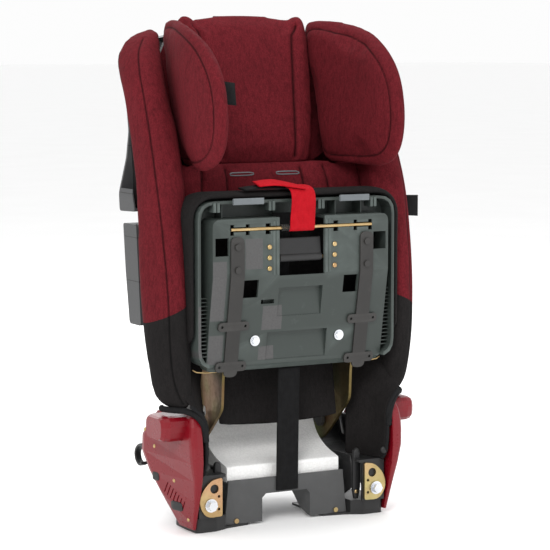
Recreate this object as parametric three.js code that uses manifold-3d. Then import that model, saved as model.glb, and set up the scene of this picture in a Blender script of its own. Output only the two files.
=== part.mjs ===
// A folding convertible car seat, stored folded: the seat pan is swung up against the back.
// Millimetres, +Z up, +X to the viewer's right, +Y from the front to the back.
// The origin is on the floor, in the middle of the seat's footprint.
import * as THREE from "three";
import { mergeVertices } from "three/addons/utils/BufferGeometryUtils.js";
import Module from "manifold-3d";

const wasm = await Module();
wasm.setup();

// ---- Driving dimensions ----
const GAP = 0.4; // clearance between touching pieces
const SIDES = { left: -1, right: 1 };

// Fold hinge
const PIVOT = { y: 17.6, z: 129.7 };
const PIN_RADIUS = 8;
const ARM_X = 101.4; // inner face of each steel arm
const ARM_THICKNESS = 4;

// Base
const BASE_FRONT = -61;
const BASE_TOP = 62;
const PLATE_TOP = 66;
const PLATE_BOTTOM = 3.4;
const NOTCH_HALF = 39;
const NOTCH_TOP = 43;
const PLATE_HALF_TOP = 93;
const PLATE_HALF_FOOT = 99;
const FOOT_TOP = 21;
const HINGE_PLATE_Y = -86.5;
const HINGE_PLATE_THICKNESS = 3.5;
const BOLT = { x: 133.8, z: 40.2 };

// Seat pan, standing upright while folded
const BOX_HALF = 140;
const BOX_TOP = 442;
const RIM_HALF = 157;
const RIM_FRONT = -96;
const GROOVE_FLOOR = -68;
const PAN_TOP = 466;
const PAN_BOTTOM = 226;
const PAN_WALL = 4;
const PAN_BACK = -62;
// The pan's outer face from its rear edge, at the bottom, to its front edge, at the top, as y and z.
const PAN_FACE = [
  [-76, PAN_BOTTOM],
  [-85, 234],
  [-95, 292],
  [-107.5, 362],
  [-107.5, 440],
  [-103, PAN_TOP],
];
const ROD = { y: -107, z: 427, radius: 2.3, half: 112 };
const SHORT_ROD = { y: -100, z: 384, left: -45, right: 45 };
const STRIP = { x: 103, half: 10.5, top: 417, bottom: 219, thickness: 3 };
const PAN_BOLT = { x: 67.5, z: 269 };

// Headrest, which slides along the leaning back
const LEAN = THREE.MathUtils.degToRad(17);
const HEADREST_BOTTOM = 512;
const HEADREST_TOP = 722;

// ---- Materials ----
const finish = (color, roughness, metalness = 0) => new THREE.MeshStandardMaterial({ color, roughness, metalness });
const FABRIC_RED = finish(0x6e2c33, 0.95);
const FABRIC_BLACK = finish(0x2b2829, 0.95);
const RED_GLOSS = finish(0xa8303f, 0.25);
const PAN_GREY = finish(0x5a605f, 0.6);
const SHELL_GREY = finish(0x707070, 0.6);
const BASE_GREY = finish(0x5a5a5a, 0.6);
const DARK_PLASTIC = finish(0x3a3a3c, 0.6);
const FOAM_WHITE = finish(0xf0f0f0, 0.9);
const ZINC_GOLD = finish(0xc8a46c, 0.35, 0.9);
const STEEL_DARK = finish(0x4a4848, 0.5, 0.7);
const STEEL_BRIGHT = finish(0xc8ccd0, 0.3, 0.9);
const CLAMP_GREY = finish(0xb8bcbc, 0.5);
const WEB_RED = finish(0xe01f2f, 0.8);
const WEB_BLACK = finish(0x242424, 0.85);

// ---- Solids ----
function solidOf(geometry) {
  const bare = geometry.clone();
  bare.deleteAttribute("normal");
  bare.deleteAttribute("uv");
  const merged = mergeVertices(bare, 1e-3);
  return new wasm.Manifold(
    new wasm.Mesh({
      numProp: 3,
      vertProperties: merged.attributes.position.array,
      triVerts: new Uint32Array(merged.index.array),
    }),
  );
}

function geometryOf(solid) {
  const mesh = solid.getMesh();
  const geometry = new THREE.BufferGeometry();
  geometry.setAttribute("position", new THREE.BufferAttribute(new Float32Array(mesh.vertProperties), 3));
  geometry.setIndex(new THREE.BufferAttribute(new Uint32Array(mesh.triVerts), 1));
  geometry.computeVertexNormals();
  return geometry;
}

const joined = (...solids) => solids.reduce((whole, solid) => whole.add(solid));
const cut = (solid, ...tools) => tools.reduce((rest, tool) => rest.subtract(tool), solid);

// A closed outline with its corners rounded by the given radius, or by a third value on a point.
function rounded(points, radius = 0) {
  const shape = new THREE.Shape();
  points.forEach(([x, y, own = radius], i) => {
    const corner = new THREE.Vector2(x, y);
    const before = new THREE.Vector2(...points[(i + points.length - 1) % points.length]);
    const after = new THREE.Vector2(...points[(i + 1) % points.length]);
    const reach = Math.min(own, corner.distanceTo(before) / 2.05, corner.distanceTo(after) / 2.05);
    const start = before.sub(corner).setLength(reach).add(corner);
    const end = after.sub(corner).setLength(reach).add(corner);
    if (i === 0) shape.moveTo(start.x, start.y);
    else shape.lineTo(start.x, start.y);
    if (reach > 0.01) shape.quadraticCurveTo(corner.x, corner.y, end.x, end.y);
  });
  shape.closePath();
  return shape;
}

const rectangle = (x0, x1, y0, y1, radius = 0) =>
  rounded([[x0, y0], [x1, y0], [x1, y1], [x0, y1]], radius);

// Prisms along an axis. The outline is in y and z along x, in x and z along y, and in x and y along z.
const FACING = {
  x: new THREE.Matrix4().set(0, 0, 1, 0, 1, 0, 0, 0, 0, 1, 0, 0, 0, 0, 0, 1),
  y: new THREE.Matrix4().set(1, 0, 0, 0, 0, 0, -1, 0, 0, 1, 0, 0, 0, 0, 0, 1),
  z: new THREE.Matrix4(),
};

function prism(axis, outline, from, to, curveSegments = 4) {
  const shape = Array.isArray(outline) ? rounded(outline) : outline;
  const low = Math.min(from, to);
  const high = Math.max(from, to);
  const geometry = new THREE.ExtrudeGeometry(shape, { depth: high - low, bevelEnabled: false, curveSegments });
  geometry.translate(0, 0, axis === "y" ? -high : low);
  geometry.applyMatrix4(FACING[axis]);
  return solidOf(geometry);
}

const block = (x0, x1, y0, y1, z0, z1) => prism("z", rectangle(x0, x1, y0, y1), z0, z1);

// A round bar along an axis; the centre is given in the prism outline's own two directions.
function bar(axis, [u, v], radius, from, to, segments = 20) {
  const circle = new THREE.Shape().absarc(u, v, radius, 0, Math.PI * 2);
  return prism(axis, circle, from, to, segments);
}

// A closed solid through rings of equal point count, which run anticlockwise seen from the last ring.
function loft(rings) {
  const count = rings[0].length;
  const points = rings.flat();
  const faces = [];
  for (let i = 0; i + 1 < rings.length; i++) {
    for (let j = 0; j < count; j++) {
      const a = i * count + j;
      const b = i * count + ((j + 1) % count);
      faces.push(a, b, b + count, a, b + count, a + count);
    }
  }
  for (const [ring, first, flip] of [[rings[0], 0, true], [rings.at(-1), (rings.length - 1) * count, false]]) {
    const middle = ring.reduce((sum, p) => sum.add(new THREE.Vector3(...p)), new THREE.Vector3());
    const hub = points.push(middle.divideScalar(count).toArray()) - 1;
    for (let j = 0; j < count; j++) {
      const edge = [first + j, first + ((j + 1) % count)];
      faces.push(hub, ...(flip ? edge.reverse() : edge));
    }
  }
  const geometry = new THREE.BufferGeometry();
  geometry.setAttribute("position", new THREE.Float32BufferAttribute(points.flat(), 3));
  geometry.setIndex(faces);
  return solidOf(geometry);
}

// A slab along x whose outline, in y and z, shrinks towards its middle at each [x, scale] station.
function softSlab(outline, stations) {
  const points = outline.getPoints(3).slice(0, -1);
  if (THREE.ShapeUtils.isClockWise(points)) points.reverse();
  const middle = points.reduce((sum, p) => sum.add(p), new THREE.Vector2()).divideScalar(points.length);
  return loft(stations.map(([x, scale]) =>
    points.map((p) => [x, middle.x + (p.x - middle.x) * scale, middle.y + (p.y - middle.y) * scale])));
}

// A level ring of a pad: a soft-cornered rectangle between two x and two y values, on the given side.
function padRing(side, [inner, outer], [front, back], z, count = 20) {
  const ring = [];
  for (let j = 0; j < count; j++) {
    const angle = (j / count) * Math.PI * 2;
    const soft = (value) => Math.sign(value) * Math.abs(value) ** 0.5;
    const x = (inner + outer) / 2 + ((outer - inner) / 2) * soft(Math.cos(angle));
    const y = (front + back) / 2 + ((back - front) / 2) * soft(Math.sin(angle));
    ring.push([side * x, y, z]);
  }
  return side < 0 ? ring.reverse() : ring;
}

// Linear interpolation in a list of [key, value] pairs.
function between(table, key) {
  const next = table.findIndex(([k]) => k >= key);
  if (next === 0) return table[0][1];
  if (next < 0) return table.at(-1)[1];
  const [k0, v0] = table[next - 1];
  const [k1, v1] = table[next];
  return v0 + ((v1 - v0) * (key - k0)) / (k1 - k0);
}

const seat = new THREE.Group();
const place = (name, solid, material) => {
  const mesh = new THREE.Mesh(geometryOf(solid), material);
  mesh.name = name;
  seat.add(mesh);
};
const placePair = (name, make, material) => {
  for (const [word, side] of Object.entries(SIDES)) place(name + "_" + word, make(side), material);
};

// ---- Base ----
function baseTray() {
  const front = prism(
    "y",
    [
      [-PLATE_HALF_FOOT, PLATE_BOTTOM],
      [-NOTCH_HALF, PLATE_BOTTOM],
      [-NOTCH_HALF, NOTCH_TOP - 6],
      [-NOTCH_HALF + 6, NOTCH_TOP],
      [NOTCH_HALF - 6, NOTCH_TOP],
      [NOTCH_HALF, NOTCH_TOP - 6],
      [NOTCH_HALF, PLATE_BOTTOM],
      [PLATE_HALF_FOOT, PLATE_BOTTOM],
      [PLATE_HALF_TOP, PLATE_TOP],
      [-PLATE_HALF_TOP, PLATE_TOP],
    ],
    BASE_FRONT,
    BASE_FRONT + 4,
  );
  // The side webs curve up towards the back, away from the floor.
  const web = rounded([[BASE_FRONT + 2, 4], [-50, 5], [-30, 10, 20], [-8, 30, 20], [18, NOTCH_TOP], [100, BASE_TOP - 4],
    [100, BASE_TOP], [BASE_FRONT + 2, BASE_TOP]], 1);
  const webs = [-PLATE_HALF_TOP, -NOTCH_HALF - 4, NOTCH_HALF, PLATE_HALF_TOP - 4].map((x) => prism("x", web, x, x + 4));
  const deck = block(-PLATE_HALF_TOP, PLATE_HALF_TOP, BASE_FRONT + 2, 100, BASE_TOP - 4, BASE_TOP);
  const holes = [-1, 1].map((side) => bar("y", [side * 81, 8], 2.4, -80, -50, 3));
  return cut(joined(front, deck, ...webs), ...holes);
}

const foot = (side) => {
  const outline = rounded([[60, -60], [96, -66], [120, -77], [152, -77.5, 8], [152, -10, 8], [122, 34], [60, 34]], 3);
  const solid = prism("z", outline, 0, FOOT_TOP);
  const standing = side > 0 ? solid : mirroredX(solid);
  const shelf = block(side * 56, side * (PLATE_HALF_FOOT + 3), -80, 40, PLATE_BOTTOM - GAP, FOOT_TOP + 1);
  return cut(standing, shelf);
};

// The same solid on the other side of the middle.
function mirroredX(solid) {
  const geometry = geometryOf(solid);
  geometry.applyMatrix4(new THREE.Matrix4().makeScale(-1, 1, 1));
  const index = geometry.index.array;
  for (let i = 0; i < index.length; i += 3) [index[i + 1], index[i + 2]] = [index[i + 2], index[i + 1]];
  return solidOf(geometry);
}

function hingePlate(side) {
  const outline = rounded(
    [[115.5, 23.5, 3], [141, 22.5, 12], [152, 42, 14], [147, 61, 14], [132, 76, 10], [115.5, 78, 3]].map(([x, z, r]) => [
      side * x,
      z,
      r,
    ]),
  );
  const plate = prism("y", outline, HINGE_PLATE_Y, HINGE_PLATE_Y + HINGE_PLATE_THICKNESS);
  const bore = (x, z, radius) => bar("y", [side * x, z], radius, HINGE_PLATE_Y - 5, HINGE_PLATE_Y + 8, 10);
  return cut(plate, bore(BOLT.x, BOLT.z, 5.5), bore(128, 63, 6.5), bore(121, 52, 2), bore(121, 34, 2));
}

function stopBolt(side) {
  const centre = [side * BOLT.x, BOLT.z];
  const washer = bar("y", centre, 9.5, HINGE_PLATE_Y - 2.4, HINGE_PLATE_Y - GAP, 12);
  const head = bar("y", centre, 7, -95.5, HINGE_PLATE_Y - 2.4, 3);
  const shank = bar("y", centre, 5, HINGE_PLATE_Y - 1, -70, 8);
  return joined(washer, head, shank);
}

const plateScrew = (side) =>
  joined(
    bar("y", [side * 81, 8], 3.6, BASE_FRONT - 2.2, BASE_FRONT - GAP, 8),
    bar("y", [side * 81, 8], 2, BASE_FRONT - 1, BASE_FRONT + 12, 5),
  );

// The housing wraps the arm's foot: an inner cheek, a trough beside the arm, and the wall the hinge plate bolts to.
const HOUSING_ARC = [[60, 131], [54, 106, 14], [37, 84, 20], [4, 77.5, 14], [-38, 78, 4]];
function hingeHousing(side) {
  const thick = 4;
  const inner = HOUSING_ARC.map(([y, z, r]) => [y - thick * 0.75, z + thick, r]).reverse();
  inner[inner.length - 1][1] = HOUSING_ARC[0][1];
  const band = rounded([...HOUSING_ARC, ...inner], 0);
  const cheek = prism("x", band, side * 95.5, side * 99.6);
  const rear = prism("x", rounded([[60, 131], [54, 106, 6], [44, 91], [40.5, 94], [50, 108], [56, 131]]),
    side * 95.5, side * 150);
  const trough = prism("x", band, side * 108.5, side * 150);
  const lip = block(side * 108.5, side * 150, -82.5, -36, 78, 82);
  const wall = block(side * 113.5, side * 150, -82.5, -79, FOOT_TOP + GAP, 80);
  const outer = prism("x", rounded([[-82.5, FOOT_TOP + GAP], [-36, FOOT_TOP + GAP], [-10, 46], [38, 85], [54, 106],
    [60, 131], [-82.5, 131]], 2), side * 146, side * 150);
  const bore = bar("y", [side * BOLT.x, BOLT.z], 5.5, -90, -70, 10);
  return cut(joined(cheek, rear, trough, lip, wall, outer), bore);
}

function pivotPin(side) {
  const centre = [PIVOT.y, PIVOT.z];
  const shank = bar("x", centre, PIN_RADIUS, side * 98, side * 119, 12);
  const head = bar("x", centre, 12, side * 96.4, side * (ARM_X - GAP), 12);
  const nut = bar("x", centre, 12, side * 114.4, side * 120, 3);
  return joined(shank, head, nut);
}

function foamBlock() {
  const profile = rounded([[-52, BASE_TOP + GAP], [-52, 84, 3], [-44, 86, 6], [-18, 92, 30], [14, 108, 40], [34, 150, 10],
    [34, 168], [44, 168], [96, 100], [96, BASE_TOP + GAP]]);
  return prism("x", profile, -91, 91);
}

// A level ring of a moulding: inner x, then the outer x at its front and back, and the front and back y.
function coverRing(z, outerFront, front, outerBack, back, radius) {
  const inner = 152.8;
  const outline = rounded([[inner, front, 2], [outerFront, front, radius], [outerBack, back, radius], [inner, back, 2]]);
  return outline.getPoints(3).slice(0, -1).map(({ x, y }) => [x, y, z]);
}

function sideCover(side) {
  const shell = loft([
    coverRing(6, 157, -79, 159, -36, 3),
    coverRing(14, 158, -81, 162, -30, 4),
    coverRing(47, 160, -92, 176, -10, 9),
    coverRing(78, 164, -101, 183, 20, 12),
    coverRing(104, 169, -104, 184, 44, 14),
    coverRing(126, 170, -103, 182, 46, 14),
    coverRing(140, 170, -101, 180, 34, 14),
    coverRing(154, 168, -98, 178, 18, 12),
    coverRing(165, 165, -92, 175, 6, 9),
    coverRing(170, 160, -84, 168, -2, 5),
  ]);
  const boss = softSlab(rectangle(-80, -18, 132, 168, 14), [[160, 1], [192, 1], [200, 0.92], [204, 0.8]]);
  const hollow = prism("x", rounded([[-72, 14], [-86, 44], [-93, 84], [-92, 146], [6, 142], [34, 124], [31, 102],
    [8, 81], [-18, 52], [-40, 18]], 4), 152, 154.6);
  const slant = 15;
  const vents = Array.from({ length: 7 }, (_, i) => {
    const y = -22 - i * 6.2;
    const z = 52 - i * 3.6;
    return prism("x", [[y, z], [y + 2.4, z], [y - 6.6, z + slant], [y - 9, z + slant]], 162, 190);
  });
  const solid = cut(joined(shell, boss), hollow, ...vents);
  return side > 0 ? solid : mirroredX(solid);
}

function beltHook(side) {
  const points = [[47, 103], [64, 105], [78, 101], [87, 91], [84, 80], [73, 75], [64, 78]];
  const path = new THREE.CatmullRomCurve3(points.map(([y, z]) => new THREE.Vector3(side * 166, y, z)));
  const section = rounded([[-5, -2.2], [5, -2.2], [5, 2.2], [-5, 2.2]], 1.5);
  return solidOf(new THREE.ExtrudeGeometry(section, { extrudePath: path, steps: 20, curveSegments: 2 }));
}

// ---- Back ----
// Rear line of the back pad, which leans more towards the top, as z and y.
const REAR_LINE = [[172, 14], [300, 14], [380, 15.5], [440, 24], [505, 33]];
// Side bolsters at each height: inner x, front corner's x and y, widest x, and rear corner's x and y.
const BOLSTER = [
  [186, 162, 172, -79, 182, 186, -72],
  [196, 162, 180, -82, 194, 196, -64],
  [230, 163, 190, -84, 206, 204, -38],
  [264, 165, 194, -85, 211, 207, -24],
  [312, 168, 196, -85, 213, 208, -13],
  [402, 167, 199, -75, 213, 208, -1],
  [489, 160, 201, -55, 209, 205, 15],
  [557, 156, 198, -27, 203, 202, 42],
  [611, 158, 197, -3, 201, 199, 62],
  [650, 154, 193, 20, 198, 198, 80],
  [680, 144, 176, 44, 184, 184, 88],
  [700, 128, 146, 66, 154, 154, 90],
];
const bolsterAt = (z, column) => between(BOLSTER.map((row) => [row[0], row[column]]), z);

function bolsterRing(side, z) {
  const [inner, frontX, frontY, wideX, rearX, rearY] = [1, 2, 3, 4, 5, 6].map((column) => bolsterAt(z, column));
  const wideY = (frontY + rearY) / 2;
  const outline = rounded([[inner, frontY, 8], [frontX, frontY, 9], [wideX, wideY, 12], [rearX, rearY, 8],
    [inner, rearY, 4]]);
  const ring = outline.getPoints(3).slice(0, -1).map(({ x, y }) => [side * x, y, z]);
  return side < 0 ? ring.reverse() : ring;
}

const SPLIT = 312; // height of the seam between the red and the black fabric
const wing = (side) =>
  loft([SPLIT + GAP, 356, 402, 446, 489, 523, 557, 584, 611, 631, 650, 666, 680, 692, 700].map((z) =>
    bolsterRing(side, z)));
const wingLower = (side) => loft([186, 190, 196, 212, 230, 264, SPLIT].map((z) => bolsterRing(side, z)));

// The fabric skirt below each bolster: a curved sheet that lines the hinge housing's outer side.
function skirt(side) {
  // Each level: height, front outer x, back outer x, front y, and the sheet's thickness.
  const levels = [[83, 145, 118, -78, 4], [110, 145, 118, -98, 5], [146, 145, 117, -99, 5], [170.6, 151.6, 117, -98, 6],
    [178, 172, 118, -92, 7], [184, 182, 120, -86, 8]];
  return loft(levels.map(([z, frontX, backX, front, thick]) => {
    const outline = rounded([[frontX, front], [frontX, -62, 12], [backX, -26, 4], [backX - thick, -29, 2],
      [frontX - thick, -66, 12], [frontX - thick, front]]);
    const ring = outline.getPoints(3).slice(0, -1).map(({ x, y }) => [side * x, y, z]);
    return side < 0 ? ring.reverse() : ring;
  }));
}

function backPad() {
  const depth = 30;
  return loft([[172, 8], [182, 0], [240, 0], [300, 0], [380, 0], [440, 0], [480, 0], [500, 6]].map(([z, shrink]) => {
    const rear = between(REAR_LINE, z);
    return padRing(1, [-92 + shrink, 92 - shrink], [rear - depth + shrink, rear - shrink], z);
  }));
}

function lowerFlap() {
  const outline = [[-38, 142], [-34, 142], [-27, 170], [-25, 205], [-29, 205], [-31, 170]];
  return prism("x", outline, -95, 95);
}

function frameRail(side) {
  const outline = rounded([[4, 112, 10], [34, 112, 14], [38, 146], [30, 240], [40, 480, 4], [24, 480, 4], [10, 240],
    [2, 150]], 2);
  const rail = prism("x", outline, side * 109, side * 112);
  return cut(rail, bar("x", [PIVOT.y, PIVOT.z], PIN_RADIUS + 0.4, side * 105, side * 116, 12));
}

const crossbar = () => bar("x", [35.5, 470], 6, -108.6, 108.6, 8);

// Clearance for the frame's rails, between two heights.
const railSlots = (low, high) => [-1, 1].map((side) => block(side * 107, side * 114, -10, 45, low, high));

// A shell open to the front: an outline in y and z across the whole width, hollowed from the front.
function backShell(outline, hollow, half) {
  const outer = prism("x", rounded(outline, 5), -half, half);
  const inner = prism("x", rounded(hollow, 2), -half + 4, half - 4);
  return cut(outer, inner);
}

const upperShell = () => {
  const outline = [[30, 446], [82, 444], [90, 519], [104, 580], [143, 690, 5], [128, 697, 3], [112, 690], [66, 546]];
  const hollow = [[20, 450], [78, 448], [86, 520], [100, 581], [134, 688], [112, 692], [100, 660], [56, 546], [20, 470]];
  const half = [[194, 440], [194, 470], [180, 519], [172, 557], [171, 600, 30], [158, 650, 40], [112, 697, 50]];
  const corners = prism("y", rounded([...half, ...half.toReversed().map(([x, z, r]) => [-x, z, r])], 6), 0, 150);
  const slots = [-1, 1].map((side) => block(side * 24, side * 64, 60, 150, 540, 560));
  return cut(backShell(outline, hollow, 196).intersect(corners), ...slots, ...railSlots(440, 452));
};

const lowerShell = () =>
  cut(
    backShell(
      [[8, 286], [46, 286], [58, 357], [66, 428], [22, 428]],
      [[0, 290], [42, 290], [54, 357], [62, 424], [0, 424]],
      196,
    ),
    ...railSlots(280, 436),
    block(-94, 94, 0, 16, 280, 292),
  );

const rearBaseShell = () =>
  backShell(
    [[46.5, 172], [66, 150, 10], [100, 104], [112, 112, 10], [82, 200, 20], [60, 281.4], [46.5, 281.4]],
    [[44, 176], [69, 154], [97, 116], [104, 116], [78, 198], [56, 277], [44, 277]],
    90,
  );

// ---- Headrest ----
const leanY = (z) => Math.tan(LEAN) * (z - HEADREST_BOTTOM);
const HEADREST_FRONT = 8; // the pad's front at its lower edge

// Half width of the headrest's middle pad, by height.
const PAD_HALF_WIDTH = [[HEADREST_BOTTOM, 84], [524, 90], [570, 96], [640, 102], [690, 106], [712, 104], [HEADREST_TOP, 92]];

function headrestPad() {
  const shrinks = [8, 0, 0, 0, 0, 4, 12];
  return loft(PAD_HALF_WIDTH.map(([z, half], i) => {
    const shrink = shrinks[i];
    const front = HEADREST_FRONT + leanY(z);
    return padRing(1, [-half, half], [front + shrink * 0.6, front + 30 - shrink * 0.3], z);
  }));
}

function headrestWing(side) {
  // Each level: height, inner and outer x at the tip, and the tip's y.
  const levels = [
    [HEADREST_BOTTOM, 104, 148, -98],
    [522, 113, 156, -126],
    [545, 117, 160, -141],
    [590, 118, 160, -143],
    [630, 121, 159, -130],
    [660, 124, 158, -103],
    [684, 128, 155, -66],
    [699, 130, 148, -20],
  ];
  const outer = 126; // the roots pass between the tops of the side bolsters as the headrest slides up
  return loft(levels.map(([z, tipInner, tipOuter, tip]) => {
    const back = HEADREST_FRONT + leanY(z) + 10;
    const inner = between(PAD_HALF_WIDTH, z) + GAP;
    const bend = Math.min(bolsterAt(z, 3) - 10, back - 20);
    const outline = rounded([[tipInner, tip, 12], [tipOuter, tip, 14], [tipOuter + 4, (tip + bend) / 2, 20],
      [tipOuter, bend, 3], [outer, bend + 4, 3], [outer, back, 4], [inner, back, 4], [inner + 4, bend, 10]]);
    const ring = outline.getPoints(3).slice(0, -1).map(({ x, y }) => [side * x, y, z]);
    return side < 0 ? ring.reverse() : ring;
  }));
}

function headrestShell() {
  const front = HEADREST_FRONT + 30 + GAP;
  const plate = prism(
    "x",
    [
      [front, HEADREST_BOTTOM - 4],
      [front + 6, HEADREST_BOTTOM - 4],
      [front + 6 + leanY(714), 714],
      [front + leanY(714), 714],
    ],
    -150,
    150,
  );
  const half = [[90, 508], [150, 540, 20], [140, 650, 60], [96, 716, 30]];
  const mirror = half.toReversed().map(([x, z, r]) => [-x, z, r]);
  const outline = prism("y", rounded([...half, ...mirror], 10), 0, 150);
  return plate.intersect(outline);
}

const guideRail = (side) => {
  const y = HEADREST_FRONT + 30 + 8;
  const outline = [[y, 508], [y + 4, 508], [y + 4 + leanY(670), 670], [y + leanY(670), 670]];
  return prism("x", outline, side * 36, side * 48);
};

function releaseHandle() {
  const y = HEADREST_FRONT + 30 + 8;
  const stem = prism("x", [[y + leanY(660), 660], [y + 4 + leanY(660), 660], [y + 4 + leanY(716), 716],
    [y + leanY(716), 716]], -12, 12);
  const grip = prism("x", rectangle(y + leanY(716) - 3, y + leanY(716) + 7, 714.6, 722, 3), -28, 28);
  return joined(stem, grip);
}

// ---- Seat ----
// The pan's face moved inwards by the given depth, as a closed outline down to the given y.
function panProfile(depth, back, low = 0, high = 0) {
  const face = PAN_FACE.map(([y, z]) => [y + depth, z]);
  face[0][1] += low;
  face.at(-1)[1] -= high;
  return [...face, [back, PAN_TOP - high], [back, PAN_BOTTOM + low]];
}

const faceY = (z) => between(PAN_FACE.map(([y, height]) => [height, y]), z);

// A pocket sunk into the pan's face, with its depth at the bottom and at the top.
const pocket = (x0, x1, z0, z1, low, high) =>
  prism("x", [[faceY(z0) - 20, z0], [faceY(z0) + low, z0], [faceY(z1 - 6) + high, z1 - 6], [faceY(z1) + high, z1],
    [faceY(z1) - 20, z1]], x0, x1);

// A closed outline in x and z, rounded, for the pan's box, its rim and the hollows in them.
const panOutline = (half, bottom, top, low, high) =>
  rounded([[-half, bottom, low], [half, bottom, low], [half, top, high], [-half, top, high]]);

// Ribs and clips in the groove between the pan's box and its rim.
function grooveDetails() {
  const ladder = [-1, 1].flatMap((side) => Array.from({ length: 16 }, (_, i) =>
    block(side * (BOX_HALF - 2), side * (RIM_HALF - 2), -88, GROOVE_FLOOR, 250 + i * 5.4, 251.4 + i * 5.4)));
  const clips = [-129, -43, 36, 121].flatMap((x) => [-5, 0.8].map((offset) =>
    block(x + offset, x + offset + 4.2, -98, -80, 451, PAN_TOP - 2)));
  const webs = [-118, 62, 104].map((x) => block(x, x + 1.6, -90, GROOVE_FLOOR, BOX_TOP - 2, PAN_TOP - 2));
  return [...ladder, ...clips, ...webs];
}

function seatPan() {
  const box = prism("x", panProfile(0, PAN_BACK), -160, 160)
    .intersect(prism("y", panOutline(BOX_HALF, PAN_BOTTOM, BOX_TOP, 16, 12), -130, PAN_BACK));
  const inside = prism("x", panProfile(PAN_WALL, PAN_BACK + 10), -160, 160)
    .intersect(prism("y", panOutline(BOX_HALF - PAN_WALL, PAN_BOTTOM + PAN_WALL, BOX_TOP - PAN_WALL, 12, 8), -130, -50));
  const rim = prism("y", panOutline(RIM_HALF, PAN_BOTTOM + 8, PAN_TOP, 26, 26), RIM_FRONT, PAN_BACK);
  const rimInside = prism("y", panOutline(RIM_HALF - 4.4, PAN_BOTTOM + 12, PAN_TOP - 4, 24, 22), -130, GROOVE_FLOOR);
  const ridges = [-44.5, -39, 39, 44.5].map((x) => bar("z", [x, -106.2], 2.6, 362, BOX_TOP - 5, 4));
  const pocketBacking = prism("x", [[faceY(236) + 2, 236], [faceY(236) + 11, 236], [faceY(348) + 11, 348],
    [faceY(348) + 2, 348]], -54, 54);
  const beforeFace = prism("x", [[-130, 200], [faceY(234), 200], [faceY(234), 234], [faceY(292), 292], [-130, 292]],
    -BOX_HALF, BOX_HALF);
  const bodies = joined(cut(rim, rimInside, beforeFace), box);
  const hollowed = joined(cut(bodies, inside), ...grooveDetails(), ...ridges, pocketBacking);
  const windows = [-1, 1].flatMap((side) => [
    block(side * 25, side * 58, -125, -96, 423.6, 430.4),
    block(side * 83, side * 113, -125, -96, 423.6, 430.4),
    block(side * 50, side * 58, -125, -96, 419, 434),
    block(side * 83, side * 89, -125, -96, 419, 434),
    block(side * 107, side * 113, -125, -96, 419, 434),
    block(side * 115.5, side * 136, -125, -90, 391, 416),
    block(side * 68, side * 91, -125, -90, 331, 356),
  ]);
  const opening = block(-36, 36, -125, -72, 360, BOX_TOP + 4);
  const channel = bar("x", [ROD.y, ROD.z], ROD.radius + GAP, -ROD.half - 1, ROD.half + 1, 8);
  const shortChannel = bar("x", [SHORT_ROD.y, SHORT_ROD.z], ROD.radius + GAP, SHORT_ROD.left - 1, SHORT_ROD.right + 1, 8);
  const panels = [pocket(-35, 35, 302, 343, 1, 7), pocket(-48, 48, 240, 280, 1, 7), pocket(-62, -41, 321, 327, 9, 9)];
  const bolts = [-1, 1].map((side) => bar("y", [side * PAN_BOLT.x, PAN_BOLT.z], 4.4, -110, -70, 8));
  const screws = [-1, 1].flatMap((side) =>
    [403, 371].map((z) => bar("y", [side * STRIP.x, z], 2.6, -120, -90, 5)));
  const armSlots = [-1, 1].map((side) =>
    block(side * (ARM_X - 1), side * (ARM_X + ARM_THICKNESS + 1), -72, -50, 215, 236));
  return cut(hollowed, opening, channel, shortChannel, ...windows, ...panels, ...bolts, ...screws, ...armSlots);
}

function arm(side) {
  const outline = rounded([[-68, 300, 5], [-78, 290, 5], [-70, 238], [-65.6, 212], [-63, 170, 10], [-53, 159, 10],
    [-2, 112, 14], [21, 95, 16], [39, 112, 16], [37, 146, 10], [19, 197, 10], [8, 216], [-60, 248]], 2);
  const plate = prism("x", outline, side * ARM_X, side * (ARM_X + ARM_THICKNESS));
  const bore = bar("x", [PIVOT.y, PIVOT.z], PIN_RADIUS + 0.08, side * 96, side * 110, 12);
  const hole = bar("x", [-6, 160], 8.5, side * 96, side * 110, 10);
  return cut(plate, bore, hole);
}

function strip(side) {
  const lie = (offset) => [
    [faceY(417) - offset, STRIP.top],
    [faceY(362) - offset, 362],
    [faceY(292) - offset, 292],
    [faceY(234) - offset, 234],
    [faceY(234) + 2 - offset, STRIP.bottom],
  ];
  const bent = prism("x", [...lie(GAP), ...lie(GAP + STRIP.thickness).reverse()], side * 70, side * 135);
  const x = side * STRIP.x;
  const outline = joined(
    prism("y", rectangle(x - STRIP.half, x + STRIP.half, STRIP.bottom, STRIP.top, 9), -125, -60),
    prism("y", rectangle(x - 24, x + 24, 285, 298, 6), -125, -60),
    prism("y", rectangle(x - 24, x + 24, 227, 241, 6), -125, -60),
  );
  const holes = [[x - 18, 291.5, 2], [x + 18, 291.5, 2], [x - 18, 234, 2], [x + 18, 234, 2], [x, 403, 2.6], [x, 371, 2.6]];
  return cut(bent.intersect(outline), ...holes.map(([u, v, r]) => bar("y", [u, v], r, -125, -60, 4)));
}

function stripScrew(side, z) {
  const centre = [side * STRIP.x, z];
  const top = faceY(z) - GAP - STRIP.thickness;
  return joined(bar("y", centre, 4.6, top - 2.4, top - 0.3, 8), bar("y", centre, 2.2, top - 1, top + 12, 4));
}

function panBolt(side) {
  const centre = [side * PAN_BOLT.x, PAN_BOLT.z];
  const top = faceY(PAN_BOLT.z);
  const washer = bar("y", centre, 7.5, top - 2.6, top - 1.6, 10);
  return joined(washer, bar("y", centre, 5.4, top - 5.4, top - 2.6, 3), bar("y", centre, 4, top - 2, top + 12, 6));
}

const clampBar = (side) => prism("x", rectangle(-108.6, -104.6, 461, 470, 1.6), side * 61, side * 108);

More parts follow.
